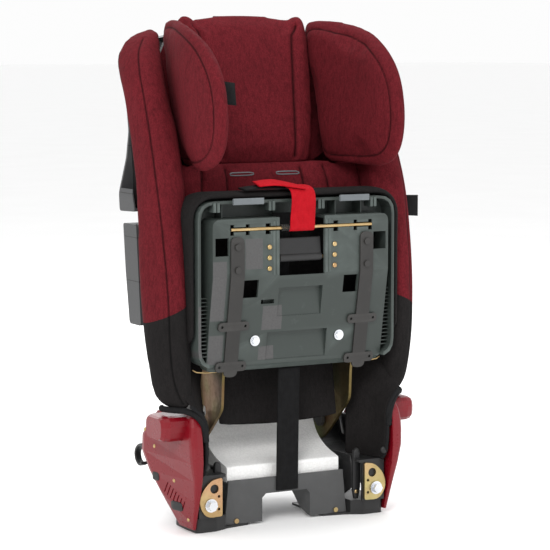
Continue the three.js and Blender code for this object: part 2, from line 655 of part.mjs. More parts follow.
function seatCushion() {
  const rings = [[250, 12], [262, 2], [330, 0], [400, 0], [456, 2], [480, 12]].map(([z, shrink]) =>
    padRing(1, [-154 + shrink, 154 - shrink], [PAN_BACK + GAP + shrink * 0.4, -22 - shrink * 0.5], z));
  const slots = [-1, 1].map((side) =>
    block(side * (ARM_X - 2), side * (ARM_X + ARM_THICKNESS + 2), -90, 30, 200, 310));
  return cut(loft(rings), ...slots);
}

function foldStrap() {
  // The band loops round the long rod at the front and runs over the pan's upper edge to the back.
  const front = ROD.y - ROD.radius - GAP;
  const outline = rounded([[front - 2.4, 424, 2], [front, 424], [front, 452], [-104.4, PAN_TOP + 2, 4], [-98, PAN_TOP + 14],
    [-70, PAN_TOP + 16], [-70, PAN_TOP + 18.4], [-99, PAN_TOP + 16.4, 4], [-107, PAN_TOP + 4, 4], [front - 2.4, 452]]);
  return prism("x", outline, -18.7, 18.7);
}

// Turns of the lever's torsion spring, as one closed coil on the long rod.
function leverSpring() {
  const turns = 4;
  const radius = 4;
  class Coil extends THREE.Curve {
    getPoint(t, target = new THREE.Vector3()) {
      const angle = t * turns * Math.PI * 2;
      return target.set(-34 + 13 * t, ROD.y + radius * Math.cos(angle), ROD.z + radius * Math.sin(angle));
    }
  }
  const section = new THREE.Shape().absarc(0, 0, 0.9, 0, Math.PI * 2);
  return solidOf(new THREE.ExtrudeGeometry(section, { extrudePath: new Coil(), steps: 72, curveSegments: 3 }));
}

// The harness adjuster's release lever turns on the short rod, inside the pan's opening.
function adjusterLever() {
  const hub = bar("x", [SHORT_ROD.y, SHORT_ROD.z], 5.5, -33, 33, 8);
  const flap = prism("x", rounded([[-103, 380], [-97, 380], [-95, 412, 2], [-99, 412, 2]]), -33, 33);
  return cut(joined(hub, flap), bar("x", [SHORT_ROD.y, SHORT_ROD.z], ROD.radius + 0.08, -40, 40, 8));
}

const adjusterStrap = () =>
  prism("x", [[BASE_FRONT - 0.6, 46], [BASE_FRONT - 3, 46], [-69.6, 224], [-67.2, 224]], -17.4, 17.4);

// ---- Assembly ----
place("base_tray", baseTray(), BASE_GREY);
placePair("foot", foot, DARK_PLASTIC);
placePair("hinge_plate", hingePlate, ZINC_GOLD);
placePair("stop_bolt", stopBolt, STEEL_BRIGHT);
placePair("plate_screw", plateScrew, ZINC_GOLD);
placePair("hinge_housing", hingeHousing, DARK_PLASTIC);
placePair("pivot_pin", pivotPin, STEEL_DARK);
place("foam_block", foamBlock(), FOAM_WHITE);
placePair("side_cover", sideCover, RED_GLOSS);
placePair("belt_hook", beltHook, DARK_PLASTIC);

placePair("frame_rail", frameRail, STEEL_DARK);
place("frame_crossbar", crossbar(), STEEL_DARK);
place("back_shell_upper", upperShell(), SHELL_GREY);
place("back_shell_lower", lowerShell(), SHELL_GREY);
place("rear_base_shell", rearBaseShell(), SHELL_GREY);
place("back_pad", backPad(), FABRIC_RED);
place("lower_flap", lowerFlap(), FABRIC_BLACK);
placePair("wing", wing, FABRIC_RED);
placePair("wing_lower", wingLower, FABRIC_BLACK);
placePair("skirt", skirt, FABRIC_BLACK);
placePair("guide_rail", guideRail, STEEL_DARK);

place("headrest_shell", headrestShell(), DARK_PLASTIC);
place("headrest_pad", headrestPad(), FABRIC_RED);
placePair("headrest_wing", headrestWing, FABRIC_RED);
place("headrest_release", releaseHandle(), DARK_PLASTIC);

place("seat_pan", seatPan(), PAN_GREY);
placePair("arm", arm, ZINC_GOLD);
placePair("strip", strip, STEEL_DARK);
placePair("strip_screw_upper", (side) => stripScrew(side, 403), STEEL_DARK);
placePair("strip_screw_lower", (side) => stripScrew(side, 371), STEEL_DARK);
placePair("pan_bolt", panBolt, STEEL_BRIGHT);
placePair("clamp_bar", clampBar, CLAMP_GREY);
place("long_rod", bar("x", [ROD.y, ROD.z], ROD.radius, -ROD.half, ROD.half, 8), ZINC_GOLD);
place("short_rod", bar("x", [SHORT_ROD.y, SHORT_ROD.z], ROD.radius, SHORT_ROD.left, SHORT_ROD.right, 8), ZINC_GOLD);
place("seat_cushion", seatCushion(), FABRIC_BLACK);
place("fold_strap", foldStrap(), WEB_RED);
place("lever_spring", leverSpring(), STEEL_DARK);
place("adjuster_lever", adjusterLever(), DARK_PLASTIC);
place("adjuster_strap", adjusterStrap(), WEB_BLACK);

export default seat;
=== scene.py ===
"""Looks of a folding convertible car seat, in metres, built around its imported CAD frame."""

import math

import bmesh
import bpy
import numpy as np
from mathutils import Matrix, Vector


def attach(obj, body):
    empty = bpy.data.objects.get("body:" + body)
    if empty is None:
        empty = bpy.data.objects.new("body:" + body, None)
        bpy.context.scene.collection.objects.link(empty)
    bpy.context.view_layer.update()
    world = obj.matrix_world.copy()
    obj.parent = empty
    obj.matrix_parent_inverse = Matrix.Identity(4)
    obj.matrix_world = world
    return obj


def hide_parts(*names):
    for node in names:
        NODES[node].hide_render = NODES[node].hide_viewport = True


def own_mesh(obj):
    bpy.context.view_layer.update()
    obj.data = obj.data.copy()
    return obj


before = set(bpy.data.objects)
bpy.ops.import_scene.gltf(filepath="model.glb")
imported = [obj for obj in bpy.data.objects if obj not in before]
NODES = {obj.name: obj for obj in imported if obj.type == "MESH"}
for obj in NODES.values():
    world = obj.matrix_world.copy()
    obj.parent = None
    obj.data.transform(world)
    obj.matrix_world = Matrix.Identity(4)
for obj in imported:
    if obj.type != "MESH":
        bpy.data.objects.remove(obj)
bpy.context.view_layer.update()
MM = 0.001
WELD = 1e-6  # metres: points closer than this are one point
SIDES = ((-1, "left"), (1, "right"))
LEAN = math.tan(math.radians(17))  # the headrest leans back with height
HEAD_LOW = 512  # millimetres, the headrest's lower edge
HEAD_FRONT = 8  # millimetres, the headrest pad's front at that edge
SEAM_STEPS = 60  # points along a seam
VOXEL = 0.005  # metres, the mesh of a pad's cloth run
CLOTH_FRAMES = 20
PRESSURE = 4.0
STIFFNESS = 12.0


# ---- Numbers along a table ----
def along(table, at):
    """A smooth curve through rows of (key, value, ...), at one key or many."""
    rows = np.array(table, float)
    keys, values = rows[:, 0], rows[:, 1:]
    slopes = np.gradient(values, keys, axis=0)
    at = np.clip(np.atleast_1d(np.asarray(at, float)), keys[0], keys[-1])
    i = np.clip(np.searchsorted(keys, at, side="right") - 1, 0, len(keys) - 2)
    h = (keys[i + 1] - keys[i])[:, None]
    t = ((at - keys[i]) / h[:, 0])[:, None]
    return (
        (2 * t**3 - 3 * t**2 + 1) * values[i]
        + (t**3 - 2 * t**2 + t) * h * slopes[i]
        + (3 * t**2 - 2 * t**3) * values[i + 1]
        + (t**3 - t**2) * h * slopes[i + 1]
    )


def resample(points, count, closed=True):
    """Points evenly spaced along a line."""
    p = np.asarray(points, float)
    if closed:
        p = np.vstack([p, p[:1]])
    step = np.linalg.norm(np.diff(p, axis=0), axis=1)
    length = np.concatenate([[0], np.cumsum(step)])
    at = np.linspace(0, length[-1], count + 1)[:-1] if closed else np.linspace(0, length[-1], count)
    return np.stack([np.interp(at, length, p[:, k]) for k in range(p.shape[1])], axis=1)


def soften(points, rounds=2, closed=True):
    """A line with its corners cut, again and again."""
    p = np.asarray(points, float)
    for _ in range(rounds):
        after = np.roll(p, -1, axis=0)
        near, far = 0.75 * p + 0.25 * after, 0.25 * p + 0.75 * after
        cut = np.stack([near, far], axis=1).reshape(-1, p.shape[1])
        p = cut if closed else np.vstack([p[:1], cut[:-2], p[-1:]])
    return p


def evenly(points, count):
    """Points evenly spaced along an open line."""
    return resample(points, count, closed=False)


def smooth(points, count, rounds=2):
    """An open line with its corners cut, as evenly spaced points."""
    return evenly(soften(points, rounds, closed=False), count)


def row_at(table, key):
    """A table's values at one key."""
    return along(table, key)[0]


def ease(x, low, high):
    """0 below low, 1 above high, and a smooth step between."""
    t = np.clip((np.asarray(x, float) - low) / (high - low), 0, 1)
    return t * t * (3 - 2 * t)


# ---- Meshes ----
def show(data, name):
    """A new object in the scene with this mesh."""
    piece = bpy.data.objects.new(name, data)
    bpy.context.scene.collection.objects.link(piece)
    return piece


def mesh_piece(name, points, faces):
    """A smooth object from points in millimetres."""
    data = bpy.data.meshes.new(name)
    data.from_pydata([tuple(p) for p in np.asarray(points, float) * MM], [], [tuple(f) for f in faces])
    data.update()
    data.polygons.foreach_set("use_smooth", [True] * len(data.polygons))
    return show(data, name)


def points_of(piece):
    """The piece's points in metres."""
    return np.array([v.co for v in piece.data.vertices], float)


def put_points(piece, points):
    """Moves the piece's points to these, in metres."""
    piece.data.vertices.foreach_set("co", points.ravel())
    piece.data.update()


def outward(piece):
    """Welds the piece's doubled points and turns its faces out."""
    bm = bmesh.new()
    bm.from_mesh(piece.data)
    bmesh.ops.remove_doubles(bm, verts=bm.verts, dist=WELD)
    bmesh.ops.recalc_face_normals(bm, faces=bm.faces)
    bm.to_mesh(piece.data)
    bm.free()
    piece.data.update()
    return piece


def rings_piece(name, rings, closed=True, capped=True):
    """A skin over rings of equal count, with a fan over each end."""
    rings = [np.asarray(r, float) for r in rings]
    count = len(rings[0])
    points = np.vstack(rings)
    faces = []
    reach = count if closed else count - 1
    for i in range(len(rings) - 1):
        for j in range(reach):
            a, b = i * count + j, i * count + (j + 1) % count
            faces.append((a, b, b + count, a + count))
    if capped:
        for first in (0, (len(rings) - 1) * count):
            hub = len(points)
            points = np.vstack([points, points[first : first + count].mean(axis=0)])
            faces += [(hub, first + j, first + (j + 1) % count) for j in range(count)]
    return outward(mesh_piece(name, points, faces))


def pad_piece(name, outline, place, rings, edge):
    """A crowned pad: a flat outline filled with rings on both faces, and place(u, v, w) puts a point of it in
    space. w runs from -1 on one face to 1 on the other, and is 0 along the outline."""
    outline = np.asarray(outline, float)
    middle = outline.mean(axis=0)
    shares = np.sin(np.linspace(0, math.pi / 2, rings + 1))[1:]
    crown = [(s, (1 - s**edge) ** 0.5) for s in shares]
    layers = [(s, -w) for s, w in crown] + crown[-2::-1]
    skin = []
    for share, w in layers:
        flat = middle + (outline - middle) * share
        skin.append(np.array([place(u, v, w) for u, v in flat]))
    return rings_piece(name, skin)


def modify(piece, kind, **settings):
    """Adds a modifier and applies it."""
    modifier = piece.modifiers.new(kind.lower(), kind)
    for key, value in settings.items():
        setattr(modifier, key, value)
    bpy.context.view_layer.objects.active = piece
    for other in bpy.context.selected_objects:
        other.select_set(False)
    piece.select_set(True)
    bpy.ops.object.modifier_apply(modifier=modifier.name)
    return piece


def inflate(piece, cap):
    """Lets the pad swell like stuffed cloth, with a cap in millimetres on how far a point goes."""
    sewn = points_of(piece)
    modify(piece, "REMESH", mode="VOXEL", voxel_size=VOXEL, use_smooth_shade=True)
    modify(piece, "SMOOTH", factor=0.5, iterations=4)
    rest = points_of(piece)
    cloth = piece.modifiers.new("cloth", "CLOTH")
    cloth.settings.use_pressure = True
    cloth.settings.uniform_pressure_force = PRESSURE
    cloth.settings.effector_weights.gravity = 0
    cloth.settings.quality = 4
    cloth.settings.tension_stiffness = STIFFNESS
    cloth.settings.compression_stiffness = STIFFNESS
    cloth.settings.shear_stiffness = STIFFNESS / 2
    cloth.settings.bending_stiffness = 0.4
    cloth.collision_settings.use_collision = False
    cloth.point_cache.frame_start, cloth.point_cache.frame_end = 1, CLOTH_FRAMES
    scene = bpy.context.scene
    for step in range(1, CLOTH_FRAMES + 1):
        scene.frame_set(step)
    shift = points_of(piece.evaluated_get(bpy.context.evaluated_depsgraph_get())) - rest
    piece.modifiers.remove(cloth)
    scene.frame_set(1)
    far = np.linalg.norm(shift, axis=1, keepdims=True)
    put_points(piece, rest + shift * np.minimum(1, cap * MM / np.maximum(far, 1e-9)))
    modify(piece, "SMOOTH", factor=0.4, iterations=2)
    modify(piece, "SUBSURF", levels=1)
    # The voxels and the smoothing shrink a pad a little, so it goes back to the size it was sewn to.
    points = points_of(piece)
    low, high = points.min(axis=0), points.max(axis=0)
    share = (points - low) / (high - low)
    put_points(piece, sewn.min(axis=0) + share * (sewn.max(axis=0) - sewn.min(axis=0)))


def nearest(points, line):
    """How far each point is from a line of short segments."""
    best = np.full(len(points), 1e9)
    for a, b in zip(line[:-1], line[1:]):
        d = b - a
        t = np.clip((points - a) @ d / max(d @ d, 1e-12), 0, 1)
        best = np.minimum(best, np.linalg.norm(points - a - t[:, None] * d, axis=1))
    return best


def stitch(piece, lines, depth, width):
    """Pulls sewn seams into the piece along lines in millimetres, and marks them for its material, which
    paints shade in their creases.
    """
    points = points_of(piece) / MM
    normals = np.array([v.normal for v in piece.data.vertices], float)
    mark = np.zeros(len(points))
    for line in lines:
        line = evenly(line, SEAM_STEPS)
        mark = np.maximum(mark, np.exp(-((nearest(points, line) / width) ** 2)))
    seam = piece.data.attributes.new("seam", "FLOAT", "POINT")
    seam.data.foreach_set("value", mark.astype(np.float32))
    put_points(piece, (points - normals * (mark * depth)[:, None]) * MM)


def on_surface(piece, line):
    """The line moved onto the nearest points of the piece, in millimetres."""
    found = []
    for p in line:
        hit, where, _, _ = piece.closest_point_on_mesh(Vector(p) * MM)
        found.append(np.array(where) / MM if hit else np.array(p))
    return np.array(found)


def mirrored(piece, name):
    """The same piece on the other side of the seat's middle."""
    other = show(piece.data.copy(), name)
    other.data.flip_normals()
    put_points(other, points_of(other) * (-1, 1, 1))
    return other


def tube(name, line, radius, count=10):
    """A round cord along a line in millimetres, as a mesh with rounded ends."""
    line = np.asarray(line, float)
    steps = np.gradient(line, axis=0)
    steps /= np.linalg.norm(steps, axis=1, keepdims=True)
    side = np.cross(steps[0], [0.3, 0.5, 0.8])
    rings = []
    for i, (p, d) in enumerate(zip(line, steps)):
        side = side - d * (side @ d)
        side /= np.linalg.norm(side)
        up = np.cross(d, side)
        r = radius * (0.45 if i in (0, len(line) - 1) else 1.0)
        angles = np.linspace(0, 2 * math.pi, count, endpoint=False)
        rings.append(p + r * (np.cos(angles)[:, None] * side + np.sin(angles)[:, None] * up))
    return rings_piece(name, rings)


def ribbon(name, path, across, width, thick):
    """Flat webbing along a path of points. across is its width's direction at each point, or one for all."""
    path = np.asarray(path, float)
    across = np.broadcast_to(np.asarray(across, float), path.shape)
    steps = np.gradient(path, axis=0)
    rings = []
    half, t = width / 2, thick / 2
    crown = t + 0.15
    face = [(-half, -t * 0.5), (-half + 0.8, -t), (-half * 0.5, -crown), (0, -crown), (half * 0.5, -crown),
        (half - 0.8, -t), (half, -t * 0.5)]
    flat = face + [(u, -v) for u, v in face[::-1]]
    for p, d, a in zip(path, steps, across):
        d = d / np.linalg.norm(d)
        a = a - d * (a @ d)
        a = a / np.linalg.norm(a)
        n = np.cross(d, a)
        rings.append(np.array([p + u * a + v * n for u, v in flat]))
    return rings_piece(name, rings)


def settle(piece, body, material, *replaced):
    """Gives the piece its material and its CAD body, and hides the CAD nodes it replaces."""
    piece.data.materials.clear()
    piece.data.materials.append(MATERIALS[material])
    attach(piece, body)
    if replaced:
        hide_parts(*replaced)


def sheet(piece, body, material, flat, held, rests_on, *replaced):
    settle(piece, body, material, *replaced)


def pad(piece, body, material, fill, *replaced):
    """Settles a pad; fill, how full it is, is not used."""
    settle(piece, body, material, *replaced)


# ---- Materials ----
MATERIALS = {}


class Nodes:
    """A material's node tree, with short calls that add and link nodes."""

    def __init__(self, name):
        self.material = bpy.data.materials.new(name)
        self.material.use_nodes = True
        self.tree = self.material.node_tree
        self.shader = self.tree.nodes["Principled BSDF"]
        self.place = self.add("ShaderNodeTexCoord").outputs["Object"]
        MATERIALS[name] = self.material

    def add(self, kind, inputs=None, **settings):
        node = self.tree.nodes.new(kind)
        for key, value in settings.items():
            setattr(node, key, value)
        for key, value in (inputs or {}).items():
            self.feed(node.inputs[key], value)
        return node

    def feed(self, socket, value):
        if isinstance(value, bpy.types.NodeSocket):
            self.tree.links.new(value, socket)
        else:
            socket.default_value = value

    def scaled(self, x, y, z):
        return self.add("ShaderNodeMapping", {"Vector": self.place, "Scale": (x, y, z)}).outputs["Vector"]

    def noise(self, scale, detail=3.0, rough=0.55, stretch=None):
        where = self.scaled(*stretch) if stretch else self.place
        return self.add(
            "ShaderNodeTexNoise", {"Vector": where, "Scale": scale, "Detail": detail, "Roughness": rough}
        ).outputs["Fac"]

    def cells(self, scale):
        return self.add("ShaderNodeTexVoronoi", {"Vector": self.place, "Scale": scale}).outputs["Distance"]

    def bands(self, scale, direction, distortion):
        return self.add(
            "ShaderNodeTexWave",
            {"Vector": self.place, "Scale": scale, "Distortion": distortion},
            bands_direction=direction,
        ).outputs["Fac"]

    def math(self, operation, a, b):
        node = self.add("ShaderNodeMath", operation=operation)
        self.feed(node.inputs[0], a)
        self.feed(node.inputs[1], b)
        return node.outputs[0]

    def ramp(self, value, low, high, to_low=0.0, to_high=1.0):
        return self.add(
            "ShaderNodeMapRange",
            {"Value": value, "From Min": low, "From Max": high, "To Min": to_low, "To Max": to_high},
        ).outputs["Result"]

    def mix(self, share, a, b):
        node = self.add("ShaderNodeMix", data_type="RGBA")
        self.feed(node.inputs["Factor"], share)
        for socket, value in ((node.inputs[6], a), (node.inputs[7], b)):
            self.feed(socket, (*value, 1) if isinstance(value, tuple) else value)
        return node.outputs[2]

    def bump(self, *layers):
        """Stacked heights, each with its depth in metres."""
        normal = None
        for height, depth in layers:
            node = self.add("ShaderNodeBump", {"Height": height, "Strength": 1.0, "Distance": depth})
            if normal:
                self.tree.links.new(normal, node.inputs["Normal"])
            normal = node.outputs["Normal"]
        self.tree.links.new(normal, self.shader.inputs["Normal"])

    def finish(self, colour, rough, **plain):
        self.feed(self.shader.inputs["Base Color"], (*colour, 1) if isinstance(colour, tuple) else colour)
        self.feed(self.shader.inputs["Roughness"], rough)
        for key, value in plain.items():
            self.shader.inputs[key.replace("_", " ")].default_value = value

    def worn_edges(self, colour, light, amount=0.5):
        """Lightens the colour along sharp edges in patches: a painted highlight where light catches the
        edges.
        """
        edge = self.ramp(self.add("ShaderNodeNewGeometry").outputs["Pointiness"], 0.52, 0.62, 0.0, amount)
        return self.mix(self.math("MULTIPLY", edge, self.noise(60)), colour, light)


def shade(colour, share):
    return tuple(c * share for c in colour)


def fabric(name, base, dark, light, sheen, weave=900.0):
    """A knitted or woven cloth with heathered yarn, and painted shade in the creases along its seams."""
    n = Nodes(name)
    yarn = n.noise(weave * 0.9, 2, 0.6, (1, 1, 0.45))
    slub = n.noise(weave * 0.25, 3, 0.7, (1, 1, 0.3))
    cloud = n.noise(9, 2)
    colour = n.mix(n.ramp(yarn, 0.35, 0.65, 0, 0.5), base, light)
    colour = n.mix(n.ramp(slub, 0.45, 0.75, 0, 0.5), colour, dark)
    colour = n.mix(n.ramp(cloud, 0.3, 0.7, 0, 0.22), colour, dark)
    seam = n.add("ShaderNodeAttribute", attribute_name="seam").outputs["Fac"]
    # Painted shade in the creases of the sewn seams.
    colour = n.mix(n.ramp(seam, 0.45, 0.95, 0, 0.8), colour, shade(dark, 0.25))
    n.finish(colour, n.ramp(yarn, 0.3, 0.7, 0.82, 0.96),
        Sheen_Weight=sheen, Sheen_Roughness=0.5, Specular_IOR_Level=0.1)
    n.shader.inputs["Sheen Tint"].default_value = (*[min(1, c * 4 + 0.08) for c in light], 1)
    n.bump((n.cells(weave), 0.0003), (n.noise(45, 2), 0.0012), (n.noise(14, 2), 0.0025))
    return n


def webbing(name, base, dark, sheen, ribs=260.0):
    """Narrow woven webbing: fine ribs across its length, and yarn along it."""
    n = Nodes(name)
    across = n.bands(ribs, "Z", 0.4)
    yarn = n.bands(ribs * 0.55, "X", 0.8)
    cloud = n.noise(120, 3)
    weave = n.math("MULTIPLY", across, yarn)
    colour = n.mix(n.ramp(weave, 0.0, 0.8, 0.6, 0.0), base, dark)
    colour = n.mix(n.ramp(cloud, 0.35, 0.7, 0, 0.35), colour, dark)
    n.finish(colour, n.ramp(cloud, 0.3, 0.7, 0.6, 0.8),
        Sheen_Weight=sheen, Sheen_Roughness=0.4, Specular_IOR_Level=0.12)
    n.bump((weave, 0.0005), (cloud, 0.0002))
    return n


def plastic(name, base, light, rough=0.5, grain=900.0, depth=0.00015, coat=0.0, edge_light=0.35, cloud=0.25):
    """Moulded plastic with a fine spark-eroded grain, faint flow marks and a painted highlight along its
    edges.
    """
    n = Nodes(name)
    fine = n.noise(grain, 2, 0.6)
    flow = n.noise(7, 3, 0.5, (1, 1, 2.5))
    scuff = n.noise(60, 5, 0.75)
    colour = n.mix(n.ramp(flow, 0.35, 0.7, 0, cloud), base, shade(base, 0.78))
    colour = n.mix(n.ramp(scuff, 0.6, 0.85, 0, 0.25), colour, light)
    # Painted highlight along sharp edges, broken into patches.
    colour = n.worn_edges(colour, light, edge_light)
    n.finish(colour, n.ramp(scuff, 0.3, 0.8, rough - 0.07, rough + 0.1),
        Coat_Weight=coat, Coat_Roughness=0.08, Specular_IOR_Level=0.32)
    n.bump((fine, depth), (n.noise(25, 2), 0.0003))
    return n


def metal(name, base, other, rough, rainbow=0.0):
    """Plated steel with stains, and drift in the plating's colour."""
    n = Nodes(name)
    drift = n.noise(22, 3, 0.6)
    stain = n.noise(160, 4, 0.7)
    colour = n.mix(n.ramp(drift, 0.35, 0.65), base, other)
    if rainbow:
        green = n.ramp(n.noise(16, 1, 0.5, (1.3, 1, 0.6)), 0.5, 0.68, 0, rainbow)
        rose = n.ramp(n.noise(19, 1, 0.5, (0.7, 1.2, 1)), 0.5, 0.68, 0, rainbow)
        colour = n.mix(green, colour, (base[0] * 0.7, base[1] * 1.25, base[2]))
        colour = n.mix(rose, colour, (base[0] * 1.2, base[1] * 0.8, base[2] * 1.3))
    colour = n.mix(n.ramp(stain, 0.55, 0.8, 0, 0.4), colour, shade(base, 0.55))
    n.finish(colour, n.ramp(stain, 0.3, 0.75, rough - 0.08, rough + 0.15), Metallic=1.0)
    n.bump((stain, 0.00008), (n.noise(900, 2, 0.5), 0.00003))


def paint(n, boxes, soft, colour):
    """Paints boxes of x and z in millimetres over the material's colour, with edges this soft in metres."""
    split = n.add("ShaderNodeSeparateXYZ", {"Vector": n.place})
    painted = None
    for x0, x1, z0, z1 in boxes:
        inside = None
        for axis, low, high in (("X", x0, x1), ("Z", z0, z1)):
            for edge, inner in ((low * MM, low * MM + soft), (high * MM, high * MM - soft)):
                share = n.ramp(split.outputs[axis], edge, inner)
                inside = share if inside is None else n.math("MULTIPLY", inside, share)
        painted = inside if painted is None else n.math("MAXIMUM", painted, inside)
    under = n.shader.inputs["Base Color"]
    n.feed(under, n.mix(n.math("MULTIPLY", painted, 0.85), under.links[0].from_socket, colour))


fabric("red_fabric", (0.090, 0.0068, 0.0105), (0.027, 0.0024, 0.0038), (0.20, 0.020, 0.028), sheen=0.014)
fabric("black_fabric", (0.010, 0.009, 0.009), (0.004, 0.004, 0.004), (0.024, 0.021, 0.021), sheen=0.03)
fabric("piping", (0.012, 0.012, 0.013), (0.005, 0.005, 0.005), (0.02, 0.02, 0.02), weave=1500, sheen=0.03)
webbing("red_webbing", (0.56, 0.004, 0.014), (0.28, 0.002, 0.006), sheen=0.01)
webbing("black_webbing", (0.010, 0.010, 0.011), (0.004, 0.004, 0.004), sheen=0.01)
webbing("grey_webbing", (0.10, 0.10, 0.10), (0.02, 0.02, 0.02), ribs=160, sheen=0.02)
plastic("red_gloss", (0.17, 0.0025, 0.008), (0.28, 0.02, 0.035), 0.3, 300, 0.00003, 0.03, 0.12, 0.2)
plastic("base_plastic", (0.058, 0.059, 0.060), (0.16, 0.16, 0.16), 0.55)
plastic("dark_plastic", (0.013, 0.013, 0.0135), (0.08, 0.08, 0.08), 0.42)
plastic("pale_plastic", (0.115, 0.13, 0.14), (0.28, 0.30, 0.31), 0.4)
metal("zinc_steel", (0.44, 0.30, 0.135), (0.56, 0.41, 0.21), 0.34, 0.4)
metal("arm_steel", (0.13, 0.10, 0.04), (0.19, 0.14, 0.06), 0.42, 0.7)
metal("bright_steel", (0.78, 0.79, 0.81), (0.6, 0.62, 0.66), 0.2)
plastic("dark_steel", (0.022, 0.021, 0.020), (0.08, 0.077, 0.073), 0.45, 1400, 0.0001, 0.0, 0.5)

# Blank labels stuck to the pan, and thin lines of painted shade standing for moulded grooves across the rear
# shells: x from and to, z from and to.
LABELS = ((-90, -62, 371, 414), (-140, -118, 300, 384), (-139, -116, 238, 280), (-58, -26, 283, 318),
    (-60, -34, 240, 260), (-157, -151, 250, 322))
GROOVE_SHADE = [(-400, 400, low, high) for low, high in ((347, 348.6), (409, 410.4), (470, 471.4), (536, 537.2),
    (566, 567.2), (230, 231.4), (150, 151.2))]


def painted_plastics():
    """The pan's grey-green plastic with labels of a duller grey, and the rear shells' with thin lines of
    painted shade for grooves.
    """
    n = plastic("pan_plastic", (0.038, 0.047, 0.043), (0.14, 0.17, 0.16), 0.4, 1100, 0.00012, 0.0, 0.7)
    grey = n.mix(n.ramp(n.noise(400, 3), 0.3, 0.7), (0.085, 0.082, 0.082), (0.067, 0.064, 0.066))
    paint(n, LABELS, 0.0006, grey)
    n = plastic("shell_plastic", (0.046, 0.047, 0.049), (0.15, 0.15, 0.15), 0.5)
    # Painted shade: dark lines where grooves would hold shade.
    paint(n, GROOVE_SHADE, 0.0003, (0.008, 0.008, 0.008))


def foam():
    """Moulded white bead foam."""
    n = Nodes("white_foam")
    beads = n.cells(330)
    colour = n.mix(n.ramp(beads, 0.2, 0.75, 0, 0.35), (0.86, 0.86, 0.85), (0.66, 0.66, 0.65))
    n.finish(colour, 0.75)
    n.bump((beads, 0.0004))


def floor_material():
    n = Nodes("floor")
    n.finish(n.mix(n.ramp(n.noise(3, 2), 0.3, 0.7), (0.95, 0.95, 0.95), (0.97, 0.97, 0.97)), 0.7)


painted_plastics()
foam()
floor_material()

# How the CAD nodes that stay look: the material, the edges' bevel in millimetres, and how their names start.
CAD_LOOKS = (
    ("base_plastic", 0.8, "base_tray"),
    ("dark_plastic", 1.0, "foot_", "headrest_shell", "headrest_release"),
    ("dark_plastic", 0.8, "hinge_housing", "belt_hook"),
    ("dark_plastic", 0.5, "adjuster_lever"),
    ("pale_plastic", 0.6, "clamp_bar"),
    ("red_gloss", 1.5, "side_cover"),
    ("pan_plastic", 0.6, "seat_pan"),
    ("shell_plastic", 1.2, "back_shell", "rear_base_shell"),
    ("white_foam", 1.5, "foam_block"),
    ("arm_steel", 0.6, "arm_"),
    ("zinc_steel", 0.5, "hinge_plate"),
    ("zinc_steel", 0.4, "plate_screw"),
    ("zinc_steel", 0.0, "long_rod", "short_rod"),
    ("bright_steel", 0.8, "stop_bolt"),
    ("bright_steel", 0.5, "pan_bolt"),
    ("dark_steel", 0.8, "pivot_pin"),
    ("dark_steel", 0.4, "guide_rail"),
    ("dark_steel", 0.3, "strip_screw"),
    ("dark_steel", 0.5, "strip_left", "strip_right"),
    ("dark_steel", 0.0, "frame_", "lever_spring"),
)


def dress_cad():
    """Gives each CAD node its material, with its sharp edges rounded by a bevel."""
    for name, node in NODES.items():
        look = next((row for row in CAD_LOOKS if name.startswith(row[2:])), None)
        if look is None:
            continue
        material, radius = look[:2]
        node.data.materials.clear()
        node.data.materials.append(MATERIALS[material])
        node.data.polygons.foreach_set("use_smooth", [True] * len(node.data.polygons))
        if radius:
            bevel = node.modifiers.new("bevel", "BEVEL")
            bevel.width = radius * MM
            bevel.segments = 2
            bevel.limit_method = "ANGLE"
            bevel.angle_limit = math.radians(32)
            bevel.use_clamp_overlap = True
            bevel.harden_normals = True
        else:
            node.data.set_sharp_from_angle(angle=math.radians(35))


dress_cad()


# ---- Camera, light and floor ----
CAMERA_AT = (-1.4772, -2.7821, 0.6837)
CAMERA_AIM = (0.01425, 0, 0.3486)
CAMERA_LENS = 143.46
LIGHT_AIM = (0, 0, 0.36)
# Name, place, size, power and colour.
LIGHTS = (
    ("key", (-2.1, -2.3, 2.4), 1.3, 62, (1, 0.985, 0.97)),
    ("fill", (2.4, -2.6, 1.2), 2.4, 14, (0.97, 0.98, 1)),
    ("top", (0.2, 0.3, 3.2), 2.2, 36, (1, 1, 1)),
    ("back", (0.6, 2.6, 1.9), 2.2, 26, (1, 1, 1)),
)
FLOOR = ((-40000, 40000), (-14000, 60000))  # millimetres in x and y


def point_at(thing, where, target):
    """Puts a camera or light somewhere, and turns it to a target."""
    bpy.context.scene.collection.objects.link(thing)
    thing.location = where
    thing.rotation_mode = "QUATERNION"
    thing.rotation_quaternion = (Vector(target) - thing.location).to_track_quat("-Z", "Y")


def studio():
    """A camera at the photograph's angle, soft lights, and a pale floor."""
    scene = bpy.context.scene
    camera = bpy.data.objects.new("camera", bpy.data.cameras.new("camera"))
    point_at(camera, CAMERA_AT, CAMERA_AIM)
    camera.data.lens = CAMERA_LENS
    camera.data.sensor_width = 36
    camera.data.clip_end = 100
    scene.camera = camera

    for name, where, size, power, colour in LIGHTS:
        lamp = bpy.data.objects.new(name, bpy.data.lights.new(name, "AREA"))
        point_at(lamp, where, LIGHT_AIM)
        lamp.data.size = size
        lamp.data.energy = power
        lamp.data.color = colour

    world = bpy.data.worlds.new("studio")
    world.use_nodes = True
    world.node_tree.nodes["Background"].inputs["Color"].default_value = (1, 1, 1, 1)
    world.node_tree.nodes["Background"].inputs["Strength"].default_value = 0.98
    scene.world = world
    scene.view_settings.view_transform = "Standard"

    rings = [[(x, y, 0) for y in FLOOR[1]] for x in FLOOR[0]]
    floor = rings_piece("floor", rings, closed=False, capped=False)
    if floor.data.polygons[0].normal.z < 0:
        floor.data.flip_normals()
    floor.data.materials.append(MATERIALS["floor"])


studio()

